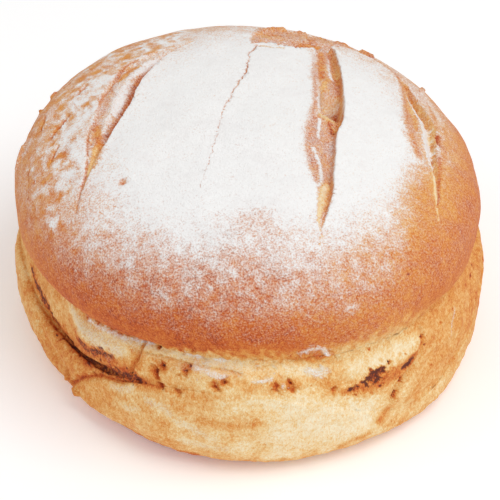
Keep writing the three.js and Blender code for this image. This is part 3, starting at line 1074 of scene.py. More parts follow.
MARKS = (
    Marks("outline_dents", Ground.SIDE, lift=-2.2, ragged=0.2, runs=(
        ((203, 4.0, 10), (210, 3.98, 10), (214, 3.98, 7)), ((165, 0.82, 12),),
    )),
    Marks("lip_fillet", Ground.SIDE, lift=2.0, runs=((
        (250, 2.0, 4), (262, 2.0, 5), (285, 2.0, 5), (305, 2.0, 5), (320, 2.0, 4),
    ),)),
    Marks("outline_swell", Ground.SIDE, lift=1.8, ragged=0.2, runs=((
        (221, 4.2, 6), (226, 4.25, 9), (233, 4.25, 10),
    ),)),
    Marks("cream_crumb", Ground.SIDE, bake=0.1, ragged=0.5, runs=(
        ((297, 2.34, 9), (302, 2.3, 10), (308, 2.26, 10), (314, 2.22, 8)),
        ((280, 3.18, 12), (287, 3.49, 18), (293, 3.41, 17), (301, 2.83, 8)),
        ((278, 4.0, 11), (290, 3.95, 14), (298, 3.8, 10)),
    )),
    Marks("lip_band", Ground.SIDE, bake=0.2, runs=(
        (
            (230, 2.2, 3), (240, 2.18, 3.4), (250, 2.16, 4.4), (260, 2.2, 5), (270, 2.26, 5.4),
            (280, 2.3, 5.4), (288, 2.3, 4),
        ),
        ((214, 2.24, 4), (220, 2.32, 6.5), (226, 2.36, 7.5), (232, 2.38, 7), (238, 2.36, 5)),
    )),
    Marks("dusted_crumb", Ground.SIDE, flour=0.38, ragged=0.5, runs=(
        ((285, 2.32, 4.5), (287, 2.36, 5), (290, 2.33, 4)),
        ((215, 2.22, 4), (220, 2.32, 6), (226, 2.36, 7), (232, 2.38, 6.5), (237, 2.42, 4.5)),
    )),
    Marks("golden_crumb", Ground.SIDE, bake=0.5, ragged=0.5, runs=(
        ((260, 3.84, 5), (265, 3.88, 6), (270, 3.83, 6.5), (273, 3.8, 4)),
        ((286, 2.47, 3.6), (288, 2.54, 4.5), (291, 2.6, 4)), ((306, 2.98, 4), (304, 3.75, 4.5)),
        ((293, 4.3, 4), (300, 4.1, 5)), ((268, 2.62, 4), (272, 2.75, 4)),
        ((252, 3.0, 4), (257, 3.08, 4), (260, 3.12, 3)),
    )),
    Marks("scorch_halo", Ground.SIDE, bake=0.64, ragged=0.5, runs=(
        (
            (200, 2.94, 4.5), (214, 2.82, 7), (223, 2.8, 10), (232, 2.74, 11), (237, 2.8, 9),
            (245, 3.1, 5),
        ),
        (
            (293, 2.7, 3), (297, 2.66, 4.4), (302, 2.58, 4.8), (307, 2.54, 4.8), (313, 2.46, 3.6),
            (317, 2.3, 2.4),
        ),
        ((305.6, 2.95, 3.0), (304.7, 3.3, 4.4), (303.3, 3.69, 4.4)),
    )),
    Marks("scorch_shade", Ground.SIDE, bake=0.72, char=0.34, runs=(
        (
            (189, 2.62, 4.2), (193, 2.71, 5.2), (198, 2.77, 5.4), (203, 2.85, 4.8), (209, 2.91, 4.6),
            (217, 2.98, 4.6), (228, 2.95, 6.5), (237, 2.92, 6.5), (243, 2.95, 4.5), (247, 3.15, 3),
        ),
        ((219, 2.58, 5), (225, 2.62, 6.5), (231, 2.6, 6), (235, 2.58, 4)),
    )),
    Marks("right_scorch_shade", Ground.SIDE, lift=-0.3, bake=0.68, char=0.44, core=0.2, ragged=1.0, runs=((
        (295, 2.71, 2.6), (297.4, 2.62, 3.8), (300.3, 2.57, 5.2), (303, 2.53, 5.8), (306, 2.49, 5.6),
        (309, 2.46, 5.0), (311.7, 2.43, 4.4), (314.3, 2.37, 2.8),
    ),)),
    Marks("seam_scorch", Ground.SIDE, lift=-0.6, char=0.8, bake=0.82, ragged=1.3, runs=(
        (
            (202, 2.85, 3.6), (209, 2.93, 4.4), (216, 3.0, 5.0), (223, 2.98, 5.8), (229, 2.95, 6.4),
            (235, 2.93, 6.4), (240, 2.92, 5.2), (243, 2.97, 3.6),
        ),
        ((219, 2.55, 3.2), (221, 2.63, 4.8), (225, 2.62, 5.2), (229, 2.58, 4.6)),
        ((231, 2.56, 3.8), (234, 2.55, 3.6)),
    )),
    Marks("left_scorch", Ground.SIDE, lift=-0.4, char=0.8, bake=0.8, core=0.3, ragged=1.1, runs=((
        (188.5, 2.66, 2.0), (190.5, 2.74, 3.4), (193.8, 2.75, 4.2), (197, 2.78, 4.4), (200, 2.81, 4.2),
        (203, 2.85, 3.6),
    ),)),
    Marks("right_scorch", Ground.SIDE, lift=-0.5, char=0.95, bake=0.85, core=0.25, ragged=1.0, runs=(
        (
            (300.2, 2.5, 2.4), (301.2, 2.46, 3.6), (302.4, 2.44, 3.8), (303.4, 2.42, 3.4),
            (304.6, 2.39, 2.2),
        ),
        ((295.6, 2.67, 2.4), (296.6, 2.61, 2.2)),
        ((310.6, 2.47, 2.2), (311.7, 2.45, 2.8), (312.8, 2.43, 2.2)), ((303, 2.61, 1.8),),
        ((298.6, 2.54, 1.9),), ((301.6, 2.55, 1.8),), ((299.4, 2.59, 1.7),), ((302.5, 2.51, 1.8),),
        ((308.7, 2.62, 1.4), (309.3, 2.6, 1.8), (309.9, 2.57, 1.5)),
        ((306.7, 2.8, 1.1), (307.3, 2.74, 0.9)), ((316.9, 2.23, 1.7), (317.3, 2.26, 1.4)),
        ((317.6, 2.33, 1.3),), ((310.8, 2.32, 0.9),), ((306, 2.35, 1.0),),
    )),
    Marks("right_fold", Ground.SIDE, lift=-1.5, ragged=0.3, runs=((
        (317, 2.15, 1.2), (317, 2.27, 1.8), (315, 2.45, 1.8), (310, 2.59, 1.8), (307, 2.74, 1.6),
        (306, 2.86, 1.0),
    ),)),
    Marks("right_specks", Ground.SIDE, lift=-0.3, bake=0.85, char=0.62, core=0.3, ragged=0.5, runs=(
        ((347, 2.35, 1.2),), ((344, 2.38, 1.6),), ((340, 2.32, 1.1),), ((331, 2.29, 0.9),),
        ((325, 2.27, 0.9),), ((320, 2.65, 1.0),), ((301, 2.12, 1.3),), ((312, 0.82, 1.0),),
        ((313, 0.8, 0.8),),
    )),
    Marks("pit_rims", Ground.SIDE, bake=0.58, ragged=1.0, runs=(
        ((248, 2.5, 4.4), (247.2, 2.66, 4.4), (248, 2.8, 3.6)), ((247.8, 3.08, 4.6),),
        ((255.6, 2.4, 4.0), (256.6, 2.46, 4.2)), ((263.2, 2.76, 5.0),), ((265.2, 2.64, 4.4),),
        ((276.8, 2.6, 4.6),), ((280.8, 2.6, 5.0),), ((291, 2.66, 5.0),),
    )),
    Marks("front_pits", Ground.SIDE, lift=-1.8, bake=0.74, char=0.36, core=0.3, runs=(
        ((249, 2.47, 3.4),), ((247, 2.6, 2.8), (248, 2.78, 2.4)), ((249, 3.12, 2.6),),
        ((254, 3.27, 2.2),), ((256, 2.37, 2.6), (255.5, 2.51, 2.8)), ((263, 2.78, 2.8),),
        ((265, 2.64, 2.4),), ((277, 2.64, 2.4),), ((280, 2.57, 2.6), (281, 2.73, 2.0)),
        ((291, 2.66, 2.4),), ((247, 2.09, 1.6),), ((257, 1.63, 1.4),),
    )),
    # Painted shade: darker browning in the crease between the strip's pillows.
    Marks("pillow_crease", Ground.SIDE, lift=-2.4, bake=0.7, ragged=0.3, runs=((
        (243, 1.9, 0.8), (242, 2.31, 1.6), (241, 2.58, 1.8), (240, 2.85, 1.6),
    ),)),
    Marks("strip_ledge", Ground.SIDE, lift=-1.0, bake=0.42, ragged=0.8, runs=((
        (244, 2.26, 0.8), (249, 2.28, 1.1), (254, 2.3, 1.2), (260, 2.32, 1.1), (265, 2.35, 1.0),
        (269, 2.42, 0.8),
    ),)),
    # Painted shade: dark centres of the pits along the seam.
    Marks("pit_holes", Ground.SIDE, lift=-1.2, bake=0.95, char=0.75, runs=(
        ((249, 2.5, 1.3),), ((247, 2.64, 1.2), (247.6, 2.74, 1.0)), ((249, 3.12, 1.2),),
        ((256.4, 2.36, 1.2),), ((255.6, 2.5, 1.0),), ((263, 2.8, 1.2),), ((265.4, 2.66, 1.1),),
        ((280.6, 2.56, 1.2),), ((247, 2.09, 1.1),),
    )),
    # Painted shade: dark browning along the fold, under the skirt's overlapping layer.
    Marks("skirt_fold", Ground.SIDE, lift=-1.8, bake=0.86, core=0.1, ragged=0.5, runs=((
        (217, 4.15, 2.2), (219, 4.03, 2.0), (222, 3.82, 1.9), (226, 3.64, 1.8), (230, 3.47, 1.7),
        (234, 3.42, 1.6), (238, 3.34, 1.5), (242, 3.05, 1.0),
    ),)),
    Marks("roll_hollow", Ground.SIDE, lift=-1.8, core=0.2, ragged=0.3, runs=((
        (199, 3.72, 5), (206, 3.85, 7), (211, 3.92, 7), (215.5, 3.95, 4.5),
    ),)),
    Marks("notch_flaps", Ground.SIDE, lift=2.4, bake=0.64, core=0.2, ragged=0.4, runs=(
        ((214, 4.03, 1.8), (215.8, 4.07, 1.9)), ((219.2, 4.13, 1.8), (220.8, 4.15, 1.8)),
    )),
    Marks("lip_flour", Ground.SIDE, flour=0.66, ragged=1.3, runs=(
        ((223, 2.14, 2.4), (228, 2.15, 2.2), (234, 2.12, 2.4), (240, 2.1, 2.0), (245, 2.06, 2.4)),
        ((255, 2.06, 2.2), (258.4, 2.07, 2.8), (260.7, 2.1, 2.4)),
        ((262.6, 2.11, 3.2), (264.6, 2.12, 3.6)),
        ((258, 2.36, 3.2), (260, 2.39, 4.2), (261.6, 2.43, 3.4)),
        ((263.1, 2.48, 3.4), (264.9, 2.53, 3.0)),
        ((271.5, 2.58, 1.8), (274, 2.54, 2.6), (276, 2.48, 2.4)), ((278.4, 2.63, 2.8),),
        ((285, 2.29, 2.6), (287.4, 2.34, 4.0), (289.4, 2.32, 3.0)),
    )),
    Marks("haze_clumps", Ground.SIDE, flour=0.55, ragged=1.0, runs=(
        ((231, 0.72, 6),), ((240, 0.78, 5.5),), ((250, 0.82, 6.5),), ((252, 0.68, 7), (256, 0.66, 6)),
        ((243, 0.66, 6),), ((281, 0.8, 5.5),), ((293, 0.74, 6),), ((312, 0.64, 7),), ((307, 0.73, 6),),
        ((295, 0.88, 6),), ((209, 0.67, 7),), ((225, 0.78, 6),), ((255, 0.75, 6),),
    )),
    Marks("thin_haze", Ground.SIDE, flour=0.74, ragged=1.0, runs=(
        ((266, 0.48, 9), (274, 0.4, 10), (279, 0.48, 8), (282, 0.58, 8)),
        ((61, 0.37, 5), (53, 0.3, 5), (45, 0.22, 4)),
    )),
    Marks("skirt_dust", Ground.SIDE, bake=0.24, flour=0.24, runs=(
        ((234, 3.62, 5), (238, 3.58, 6), (241, 3.48, 5)), ((239, 3.9, 5), (243, 3.85, 5)),
        ((246, 3.64, 6), (249, 3.7, 7.5), (252, 3.8, 7)),
        ((254, 3.95, 6), (258, 4.03, 7), (263, 4.12, 6)),
        ((254, 4.22, 5), (260, 4.26, 6.5), (266, 4.25, 5)),
    )),
    Marks("fringe_patch", Ground.SIDE, lift=0.5, bake=0.68, core=0.3, ragged=0.5, runs=((
        (283, 1.95, 4.5), (286, 1.85, 5), (289, 1.98, 4),
    ),)),
    Marks("fringe_patch_rim", Ground.SIDE, lift=0.3, flour=0.7, ragged=1.2, runs=((
        (283.5, 1.55, 2.4), (286, 1.42, 3.4), (288.5, 1.5, 3.0), (290, 1.8, 2.0),
    ),)),
    Marks("skirt_streak", Ground.SIDE, flour=0.6, runs=((
        (332, 2.32, 2.2), (330, 2.41, 2.0), (328, 2.55, 1.6),
    ),)),
    Marks("bank_flour", Ground.DOME, flour=0.95, runs=(
        ((-82, 10, 6), (-86, 3, 7.5), (-90, -3, 6)), ((-83, -14, 6.5), (-78, -26, 4)),
        ((-80, 27, 4.5),), ((-85, -27, 6), (-89, -31, 5)), ((-77, 36, 3.5), (-72, 44, 3)),
        ((-92, -18, 5),), ((-91.5, -50, 6),),
    )),
    Marks("right_bank_flour", Ground.DOME, flour=0.2, runs=((
        (98, 20, 3.4), (99.5, 8, 3.4), (99, -5, 3.4), (96, -22, 2.6), (95.5, -34, 2),
    ),)),
    Marks("right_crest_flour", Ground.DOME, flour=0.66, runs=((
        (90.5, 50, 3.4), (93.4, 40, 5.0), (95.4, 31.5, 5.8), (97, 24, 5.2), (98.4, 15, 3.6),
    ),)),
    Marks("round_pit", Ground.DOME, lift=-1.6, bake=0.64, flour=0.1, core=0.3, ragged=0.5, runs=(
        ((-58, -43.5, 2.8),),
    )),
    Marks("warm_edge", Ground.DOME, bake=0.56, flour=0.3, runs=((
        (-67, -11, 2.2), (-69, -17, 3.2), (-70.5, -23, 3.0), (-72.5, -30, 2.0),
    ),)),
    # Fissures: bare crust without flour, darkened further as painted shade inside the cracks.
    Marks("fissures", Ground.DOME, lift=-1.8, bake=0.82, flour=-0.3, ragged=0.5, runs=(
        ((-81, 41, 1.0), (-85, 35, 1.0)), ((-89, 19, 1.0), (-94, 11, 1.6), (-97, 4, 1.1)),
        ((-101, 27, 0.9), (-103, 17, 1.0)), ((-92, -4, 0.9), (-95, -13, 0.9)),
        ((-91, 55, 0.9), (-95, 54, 1.0)), ((-108.5, -8, 1.3), (-107, -24, 1.5)),
        ((-104.5, -13, 0.9), (-104, -20, 0.9)),
    )),
    Marks("orange_floor", Ground.DOME, lift=-0.3, bake=0.6, flour=0.0, in_cut=True, core=0.1, runs=(
        ((-64.5, 40.5, 2.2), (-61, 45, 3.4), (-58, 49.5, 3.4), (-53.5, 50.5, 2.0)),
        ((-73.5, 2, 2.6), (-72.5, -7, 4.4), (-71.5, -14.5, 4.0), (-72.5, -19, 3.0)),
        ((39.8, 63, 2.8), (39.2, 48, 3.4), (38.8, 36, 2.8)),
        ((49.6, 63, 2.6), (49, 42, 3.0), (49.6, 26, 2.4)), ((12, 83.5, 3.6), (18.5, 85, 3.8)),
        ((28, 75.5, 3.0), (33, 77, 4.2), (38.5, 76.5, 3.6)), ((35, 84, 4.0),),
    )),
    Marks("floured_floor", Ground.DOME, flour=1.0, in_cut=True, core=0.2, ragged=0.8, runs=((
        (-45, 57, 1.8), (-49.5, 53, 2.8), (-55, 45, 3.6), (-60, 30, 4.4), (-63.5, 17, 4.4),
        (-67, 3, 3.2), (-69.5, -6, 1.8),
    ),)),
    Marks("shaded_floor", Ground.DOME, lift=-0.8, bake=0.84, flour=0.12, in_cut=True,
          core=0.15, ragged=0.8, runs=(
        (
            (-44, 55, 2.0), (-47.5, 48.5, 3.8), (-51, 43, 5.2), (-55, 35.5, 5.2), (-57, 25, 4.6),
            (-60, 13, 4.8), (-63.5, 5, 4.8), (-66, -2, 4.0), (-68.5, -6, 2.4),
        ),
        ((46.8, 14, 2.6), (46, 7, 3.4)), ((41.5, -4, 2.2), (43, -6.5, 3.0), (44, -9, 2.6)),
    )),
    Marks("speckled_floor", Ground.DOME, bake=0.72, flour=0.42, ragged=0.3, runs=(
        ((-67.5, 33, 2.6), (-69.5, 20, 3.4), (-71.5, 11, 3.4), (-73.5, 4, 2.4)),
        (
            (33.5, 2, 4.4), (32.5, -14, 7.0), (32, -24, 7.0), (32.5, -33.5, 6.4), (33, -41.5, 5.2),
            (33.5, -48.5, 3.2),
        ),
        ((35.6, 50, 2.2), (35.2, 40, 2.6), (35.1, 26, 3.0), (34.8, 15, 3.4), (34.2, 5, 3.8)),
    )),
    Marks("mauve_floor", Ground.DOME, bake=0.72, flour=0.5, in_cut=True, ragged=0.5, runs=((
        (41, -14, 5.4), (41, -25, 6.0), (40.8, -34, 5.4), (39.5, -43, 4.2),
    ),)),
    Marks("brown_floor", Ground.DOME, bake=0.64, flour=0.24, ragged=0.7, runs=(
        (
            (78.3, 55, 1.6), (81.2, 37, 2.8), (81.4, 18, 4.2), (80.6, 6, 4.6), (82, -9, 4.6),
            (84.6, -19.5, 3.6),
        ),
        ((93.2, 36, 1.4), (95, 23, 1.7), (95.4, 12, 1.6)), ((-57.7, 24.7, 1.2),), ((-59, 18, 1.0),),
    )),
    Marks("pale_floor", Ground.DOME, bake=0.16, flour=0.15, core=0.2, ragged=0.7, runs=(
        (
            (38.8, -49, 2.4), (36.7, -55, 3.4), (35.7, -60, 3.0), (34.5, -67, 2.2), (34, -72, 1.5),
            (34.4, -77, 0.8),
        ),
        ((35, -80, 0.9),), ((34, -84, 0.8),), ((34, -88, 0.7),), ((92.5, 7, 1.7), (92.8, -2, 1.9)),
        ((91, -22.5, 1.2), (91.2, -32, 1.2), (91, -42, 1.2), (91.5, -50.5, 0.9), (91.8, -55, 0.6)),
        ((7, 63, 0.8), (13, 62, 0.9), (20.5, 61.3, 0.7)),
        ((49.6, 75.6, 0.9), (53.2, 77.5, 0.9), (57, 78.2, 0.7)),
    )),
    Marks("olive_floor", Ground.DOME, bake=0.4, flour=0.05, in_cut=True, core=0.1, ragged=0.8, runs=(
        ((-26, 75, 1.4), (-34, 64, 1.8), (-41, 57, 1.2)),
        (
            (-73, -16, 2.4), (-73.6, -23, 2.4), (-74.7, -28.3, 1.9), (-75.7, -33.5, 1.4),
            (-77.5, -40.3, 1.0),
        ),
        ((42.4, 36, 1.8), (39.8, 28, 2.3), (37.7, 20, 1.6)),
        ((49.5, 22.5, 1.6), (49.3, 14, 1.9), (47.3, 6.5, 1.4)),
        ((46.5, 64, 2.0), (47.5, 52, 2.6), (48, 42, 2.2)),
        ((83.6, 38, 2.4), (84.8, 27.7, 3.2), (84.9, 14.5, 3.4), (84.6, 1, 2.4)),
        ((89.2, 40.7, 1.9), (91.8, 28.5, 2.4), (93.6, 18, 2.2), (93.8, 8, 1.6)),
    )),
    Marks("floured_ridges", Ground.DOME, lift=0.6, flour=1.05, core=0.3, runs=(
        ((44, 62, 1.1), (43.3, 46, 1.3), (44.7, 37.5, 0.9)),
        ((36.4, -4, 0.8), (35.8, -11, 0.9), (35.3, -17.5, 0.7)),
        ((32.6, -26, 0.8), (34.3, -31.5, 1.0), (35.6, -37, 1.1), (36.1, -44.5, 1.2), (34.6, -52, 0.9)),
        ((85.3, 43.8, 1.0), (89, 40.8, 1.1)),
        (
            (83.4, 36, 1.6), (85.8, 26.5, 2.4), (88.2, 17.5, 3.2), (90, 8.5, 4.2), (90.2, -4, 4.2),
            (90.6, -14, 4.0), (91.4, -22, 2.4),
        ),
    )),
    Marks("bubble_shelf", Ground.DOME, lift=1.6, bake=0.24, flour=0.1, core=0.1, ragged=0.4, runs=(
        ((36.5, -1, 1.0), (40, -2.8, 1.3), (44.3, -2.9, 1.0)),
        ((43, -5.5, 0.9), (44.2, -7.4, 1.1), (45.5, -9.4, 0.8)),
    )),
    # Creases: bare crust, browner than the flour round it, and darkened further as painted shade inside the
    # creases.
    Marks("dark_creases", Ground.DOME, lift=-0.8, bake=0.76, flour=0.15, ragged=0.7, runs=(
        (
            (-55.6, 58, 0.9), (-60, 54, 1.3), (-63.8, 48, 1.5), (-66.9, 39, 1.5), (-69.9, 30, 1.3),
            (-72.5, 22.5, 1.2), (-74, 11, 1.1), (-75.7, -0.7, 1.1), (-76.6, -8, 1.2), (-76.5, -20, 1.1),
        ),
        ((-76.5, -24, 1.1), (-76.7, -31, 1.1), (-78.4, -41.5, 0.9), (-80.3, -53, 0.7)),
        ((41.6, -51, 1.4), (40.2, -58, 1.5), (39, -63, 1.4), (37.3, -68.5, 1.1)),
        ((95.2, -15, 1.2), (95, -23.5, 1.3), (93.3, -36, 1.1), (93, -42, 1.0), (91.5, -48, 0.8)),
    )),
    # Painted shade: dark browning and char at the bottoms of holes and pockets in the slashes.
    Marks("shaded_holes", Ground.DOME, lift=-1.8, bake=0.95, flour=0.0, char=0.4, core=0.3, ragged=0.6, runs=(
        ((6, 63.7, 1.8),), ((47.5, 74.5, 1.6),), ((95.4, 1, 1.6), (95.4, -5.5, 1.5)),
        ((44.5, -9, 1.6),), ((46, 5.5, 1.8),),
    )),
    Marks("torn_edge", Ground.DOME, lift=0.7, bake=0.62, flour=0.3, runs=((
        (7, 84, 3), (12, 87, 4), (19, 92, 5), (31, 92, 5), (41, 89, 5), (50, 86, 4), (57, 82, 2.5),
    ),)),
    Marks("torn_crags", Ground.DOME, lift=1.3, bake=0.62, flour=0.1, runs=(
        ((6, 87, 1.2), (12, 90, 1.8), (18, 95, 2.2), (22, 94, 1.2)), ((29, 95, 1.2), (32, 94.5, 1.4)),
        ((40, 91, 1.2), (43, 90, 1.2)), ((48, 87, 1.2), (54, 84.5, 1.5)),
        ((82, 46, 1.6), (84, 43, 1.4)),
    )),
    Marks("skyline_flakes", Ground.DOME, lift=3.2, bake=0.62, flour=0.1, runs=(
        ((61, 77, 2.4), (64.5, 74, 2.6), (67, 71.5, 1.8)), ((90.3, 48, 1.5), (91.8, 46.5, 1.3)),
    )),
    Marks("bank_flakes", Ground.SIDE, lift=1.5, bake=0.64, runs=(
        ((151, 0.72, 1.6), (153, 0.72, 1.2)), ((159, 0.73, 1.4),),
        ((172, 0.78, 1.8), (175, 0.8, 2.2), (178, 0.84, 2.4)),
    )),
)


class Speckle(Enum):
    """Noises in the materials, each as size in millimetres, layers, tallness and swirl."""

    SPECK = (0.85, 2.0, 1.0, 0.0)
    STREAK = (1.4, 2.0, 2.2, 2.0)
    GRAIN = (2.2, 4.0, 1.0, 0.0)
    BLOTCH = (10.0, 4.0, 1.0, 0.0)
    CLOUD = (120.0, 2.0, 1.0, 0.0)


Swings = tuple[tuple[Speckle, float], ...]


class NodeBoard:
    """Adds nodes to one tree and joins their sockets.

    Attributes:
        tree: the tree that the nodes go into.
        noises: the noises that are in it.
    """

    LAYER_STRENGTH = 0.6

    def __init__(self, tree: bpy.types.NodeTree) -> None:
        """Starts from an empty tree.

        Args:
            tree: the tree that the nodes go into.
        """
        self.tree = tree
        self.noises: dict[Speckle, Socket] = {}
        tree.nodes.clear()

    def add(self, kind: str, inputs: dict, **settings: object) -> bpy.types.Node:
        """Adds a node.

        Args:
            kind: the node's type name.
            inputs: what its input sockets hold, each a value or a socket that feeds it.
            settings: the node's own properties.

        Returns:
            The node.
        """
        node = self.tree.nodes.new(kind)
        for name, value in settings.items():
            setattr(node, name, value)
        for key, value in inputs.items():
            if isinstance(value, Socket):
                self.tree.links.new(value, node.inputs[key])
            else:
                node.inputs[key].default_value = value
        return node

    def painted(self, paint: Paint) -> Socket:
        """Reads what is painted on the mesh."""
        return self.add("ShaderNodeAttribute", {}, attribute_name=paint.value).outputs["Fac"]

    def noise(self, kind: Speckle) -> Socket:
        """Gives a noise in space, which is added the first time.

        Args:
            kind: which noise.

        Returns:
            The noise, from 0 to 1.
        """
        if kind not in self.noises:
            size, layers, tall, swirl = kind.value
            scale = 1 / (size * MM)
            place = self.add("ShaderNodeTexCoord", {}).outputs["Object"]
            inputs = {0: place, 1: (scale, scale, scale / tall)}
            cells = self.add("ShaderNodeVectorMath", inputs, operation="MULTIPLY").outputs["Vector"]
            inputs = {"Vector": cells, "Scale": 1.0, "Detail": layers, "Distortion": swirl}
            inputs["Roughness"] = self.LAYER_STRENGTH
            self.noises[kind] = self.add("ShaderNodeTexNoise", inputs).outputs["Fac"]
        return self.noises[kind]

    def swung(self, base: Socket, swings: Swings, gain: Socket | float = 1.0) -> Socket:
        """Swings an amount up and down by noises.

        Args:
            base: the amount.
            swings: the noises, each with its strength.
            gain: how strongly they all swing it.

        Returns:
            The swung amount.
        """
        total = base
        for kind, strength in swings:
            swing = self.spread(self.noise(kind), -strength / 2, strength / 2)
            inputs = {0: swing, 1: gain, 2: total}
            total = self.add("ShaderNodeMath", inputs, operation="MULTIPLY_ADD").outputs[0]
        return total

    def rise(self, value: Socket, span: Span, top: float = 1.0) -> Socket:
        """Rises smoothly from 0 at the start of a span to top at its end."""
        inputs = {"Value": value, "From Min": span[0], "From Max": span[1], "To Min": 0.0, "To Max": top}
        return self.add("ShaderNodeMapRange", inputs, interpolation_type="SMOOTHSTEP").outputs["Result"]

    def tinted(self, share: Socket, under: object, over: object) -> Socket:
        """Lays one colour over another.

        Args:
            share: how much of the upper colour shows.
            under: the lower colour, or a socket that gives it.
            over: the upper colour, or a socket that gives it.

        Returns:
            The colour that shows.
        """
        inputs = {"Factor": share, 6: under, 7: over}
        return self.add("ShaderNodeMix", inputs, data_type="RGBA").outputs[2]

    def spread(self, share: Socket, low: float, high: float) -> Socket:
        """Goes straight from low to high as share goes from 0 to 1."""
        inputs = {"Value": share, "To Min": low, "To Max": high}
        return self.add("ShaderNodeMapRange", inputs).outputs["Result"]

    def surface(self, inputs: dict) -> None:
        """Ends a material's tree with its shader and its output.

        Args:
            inputs: what the shader's input sockets hold.
        """
        shader = self.add("ShaderNodeBsdfPrincipled", inputs)
        self.add("ShaderNodeOutputMaterial", {"Surface": shader.outputs["BSDF"]})


def new_material(name: str) -> tuple[bpy.types.Material, NodeBoard]:
    """Makes a material with an empty tree.

    Args:
        name: the material's name.

    Returns:
        The material and the board of its nodes.
    """
    material = bpy.data.materials.new(name)
    material.use_nodes = True
    return material, NodeBoard(material.node_tree)


def tone(red: int, green: int, blue: int) -> tuple[float, float, float, float]:
    """Turns a screen colour into the linear colour that shaders use.

    Args:
        red: red from 0 to 255.
        green: green from 0 to 255.
        blue: blue from 0 to 255.

    Returns:
        The linear colour, opaque.
    """
    screen = np.array([red, green, blue]) / 255
    linear = np.where(screen <= 0.04045, screen / 12.92, ((screen + 0.055) / 1.055) ** 2.4)
    return (*linear.tolist(), 1.0)


@dataclass(frozen=True)
class CrustFinish:
    """Baked crust with flour dusted over it and scorched spots.

    Attributes:
        bakes: colours of the crust, each with the browning at which it shows.
        flour: colour of thick flour.
        shaded_flour: colour of its thinner clouds.
        thin_flour: colour of flour that the crust shines through.
        char: colour of a scorched spot, also used for painted shade at the bottoms of the darkest holes.
        mottling: noises that make the browning uneven, as strongly as the mesh says.
        freckles: noises that freckle it everywhere.
        dusting: noises that break up the flour.
        dusting_from: amounts of flour between which it comes to hide the crust.
        dusting_most: how far thick flour hides the crust.
        thick_from: shares of hidden crust between which flour turns from thin to thick.
        clouds_from: amounts of blotch between which thick flour turns to its clouds.
        clouds_most: how far it turns to them.
        scorching: noises that break up the scorched spots.
        scorching_from: amounts of scorching between which a spot comes to show.
        scorching_most: how far it hides what lies under it.
        relief: noises of the finest grain.
        bump: depth of the finest grain in millimetres.
        bump_strength: how strongly it shows.
        crust_rough: roughness of bare crust.
        flour_rough: roughness of flour.
        shine: strength of the crust's mirror light.
    """

    bakes: tuple[tuple[float, Screen], ...] = (
        (0.0, (253, 239, 208)),
        (0.25, (245, 210, 150)),
        (0.5, (231, 163, 86)),
        (0.7, (215, 121, 56)),
        (0.85, (196, 87, 38)),
        (1.0, (146, 58, 31)),
    )
    flour: Screen = (248, 248, 247)
    shaded_flour: Screen = (234, 229, 227)
    thin_flour: Screen = (243, 222, 200)
    char: Screen = (88, 50, 44)
    mottling: Swings = ((Speckle.BLOTCH, 0.5), (Speckle.GRAIN, 0.5), (Speckle.STREAK, -0.6))
    freckles: Swings = ((Speckle.SPECK, -0.45),)
    dusting: Swings = ((Speckle.SPECK, 1.5), (Speckle.GRAIN, 0.6), (Speckle.BLOTCH, 0.4))
    dusting_from: Span = (-0.15, 1.1)
    dusting_most: float = 0.98
    thick_from: Span = (0.2, 1.0)
    clouds_from: Span = (0.45, 0.8)
    clouds_most: float = 0.4
    scorching: Swings = ((Speckle.GRAIN, 1.6), (Speckle.SPECK, 1.2))
    scorching_from: Span = (0.55, 0.9)
    scorching_most: float = 0.9
    relief: Swings = ((Speckle.SPECK, 1.2), (Speckle.GRAIN, 0.8), (Speckle.STREAK, 1.2))
    bump: float = 0.45
    bump_strength: float = 0.7
    crust_rough: float = 0.6
    flour_rough: float = 0.95
    shine: float = 0.12

    def material(self) -> bpy.types.Material:
        """Makes the material.

        Returns:
            The material, which reads what is painted on the mesh.
        """
        material, board = new_material("floured_crust")
        bake = board.swung(board.painted(Paint.BAKE), self.mottling, board.painted(Paint.MOTTLE))
        crust = self._ramp(board, board.swung(bake, self.freckles))
        dusting = board.swung(board.painted(Paint.FLOUR), self.dusting)
        floured = board.rise(dusting, self.dusting_from, self.dusting_most)
        clouded = board.rise(board.noise(Speckle.BLOTCH), self.clouds_from, self.clouds_most)
        thick = board.tinted(clouded, tone(*self.flour), tone(*self.shaded_flour))
        dusted = board.tinted(board.rise(floured, self.thick_from), tone(*self.thin_flour), thick)
        scorching = board.swung(board.painted(Paint.CHAR), self.scorching)
        scorched = board.rise(scorching, self.scorching_from, self.scorching_most)
        colour = board.tinted(scorched, board.tinted(floured, crust, dusted), tone(*self.char))

        height = board.swung(floured, self.relief)
        inputs = {"Height": height, "Strength": self.bump_strength, "Distance": self.bump * MM}
        bump = board.add("ShaderNodeBump", inputs)
        board.surface({
            "Base Color": colour,
            "Roughness": board.spread(floured, self.crust_rough, self.flour_rough),
            "Specular IOR Level": self.shine,
            "Normal": bump.outputs["Normal"],
        })
        return material

    def _ramp(self, board: NodeBoard, bake: Socket) -> Socket:
        """Adds the ramp from pale crumb to dark crust.

        Args:
            board: where the ramp goes.
            bake: the browning.

        Returns:
            The crust's colour.
        """
        node = board.add("ShaderNodeValToRGB", {"Fac": bake})
        stops = node.color_ramp.elements
        while len(stops) < len(self.bakes):
            stops.new(0.5)
        for stop, (place, colour) in zip(stops, self.bakes):
            stop.position = place
            stop.color = tone(*colour)
        return node.outputs["Color"]


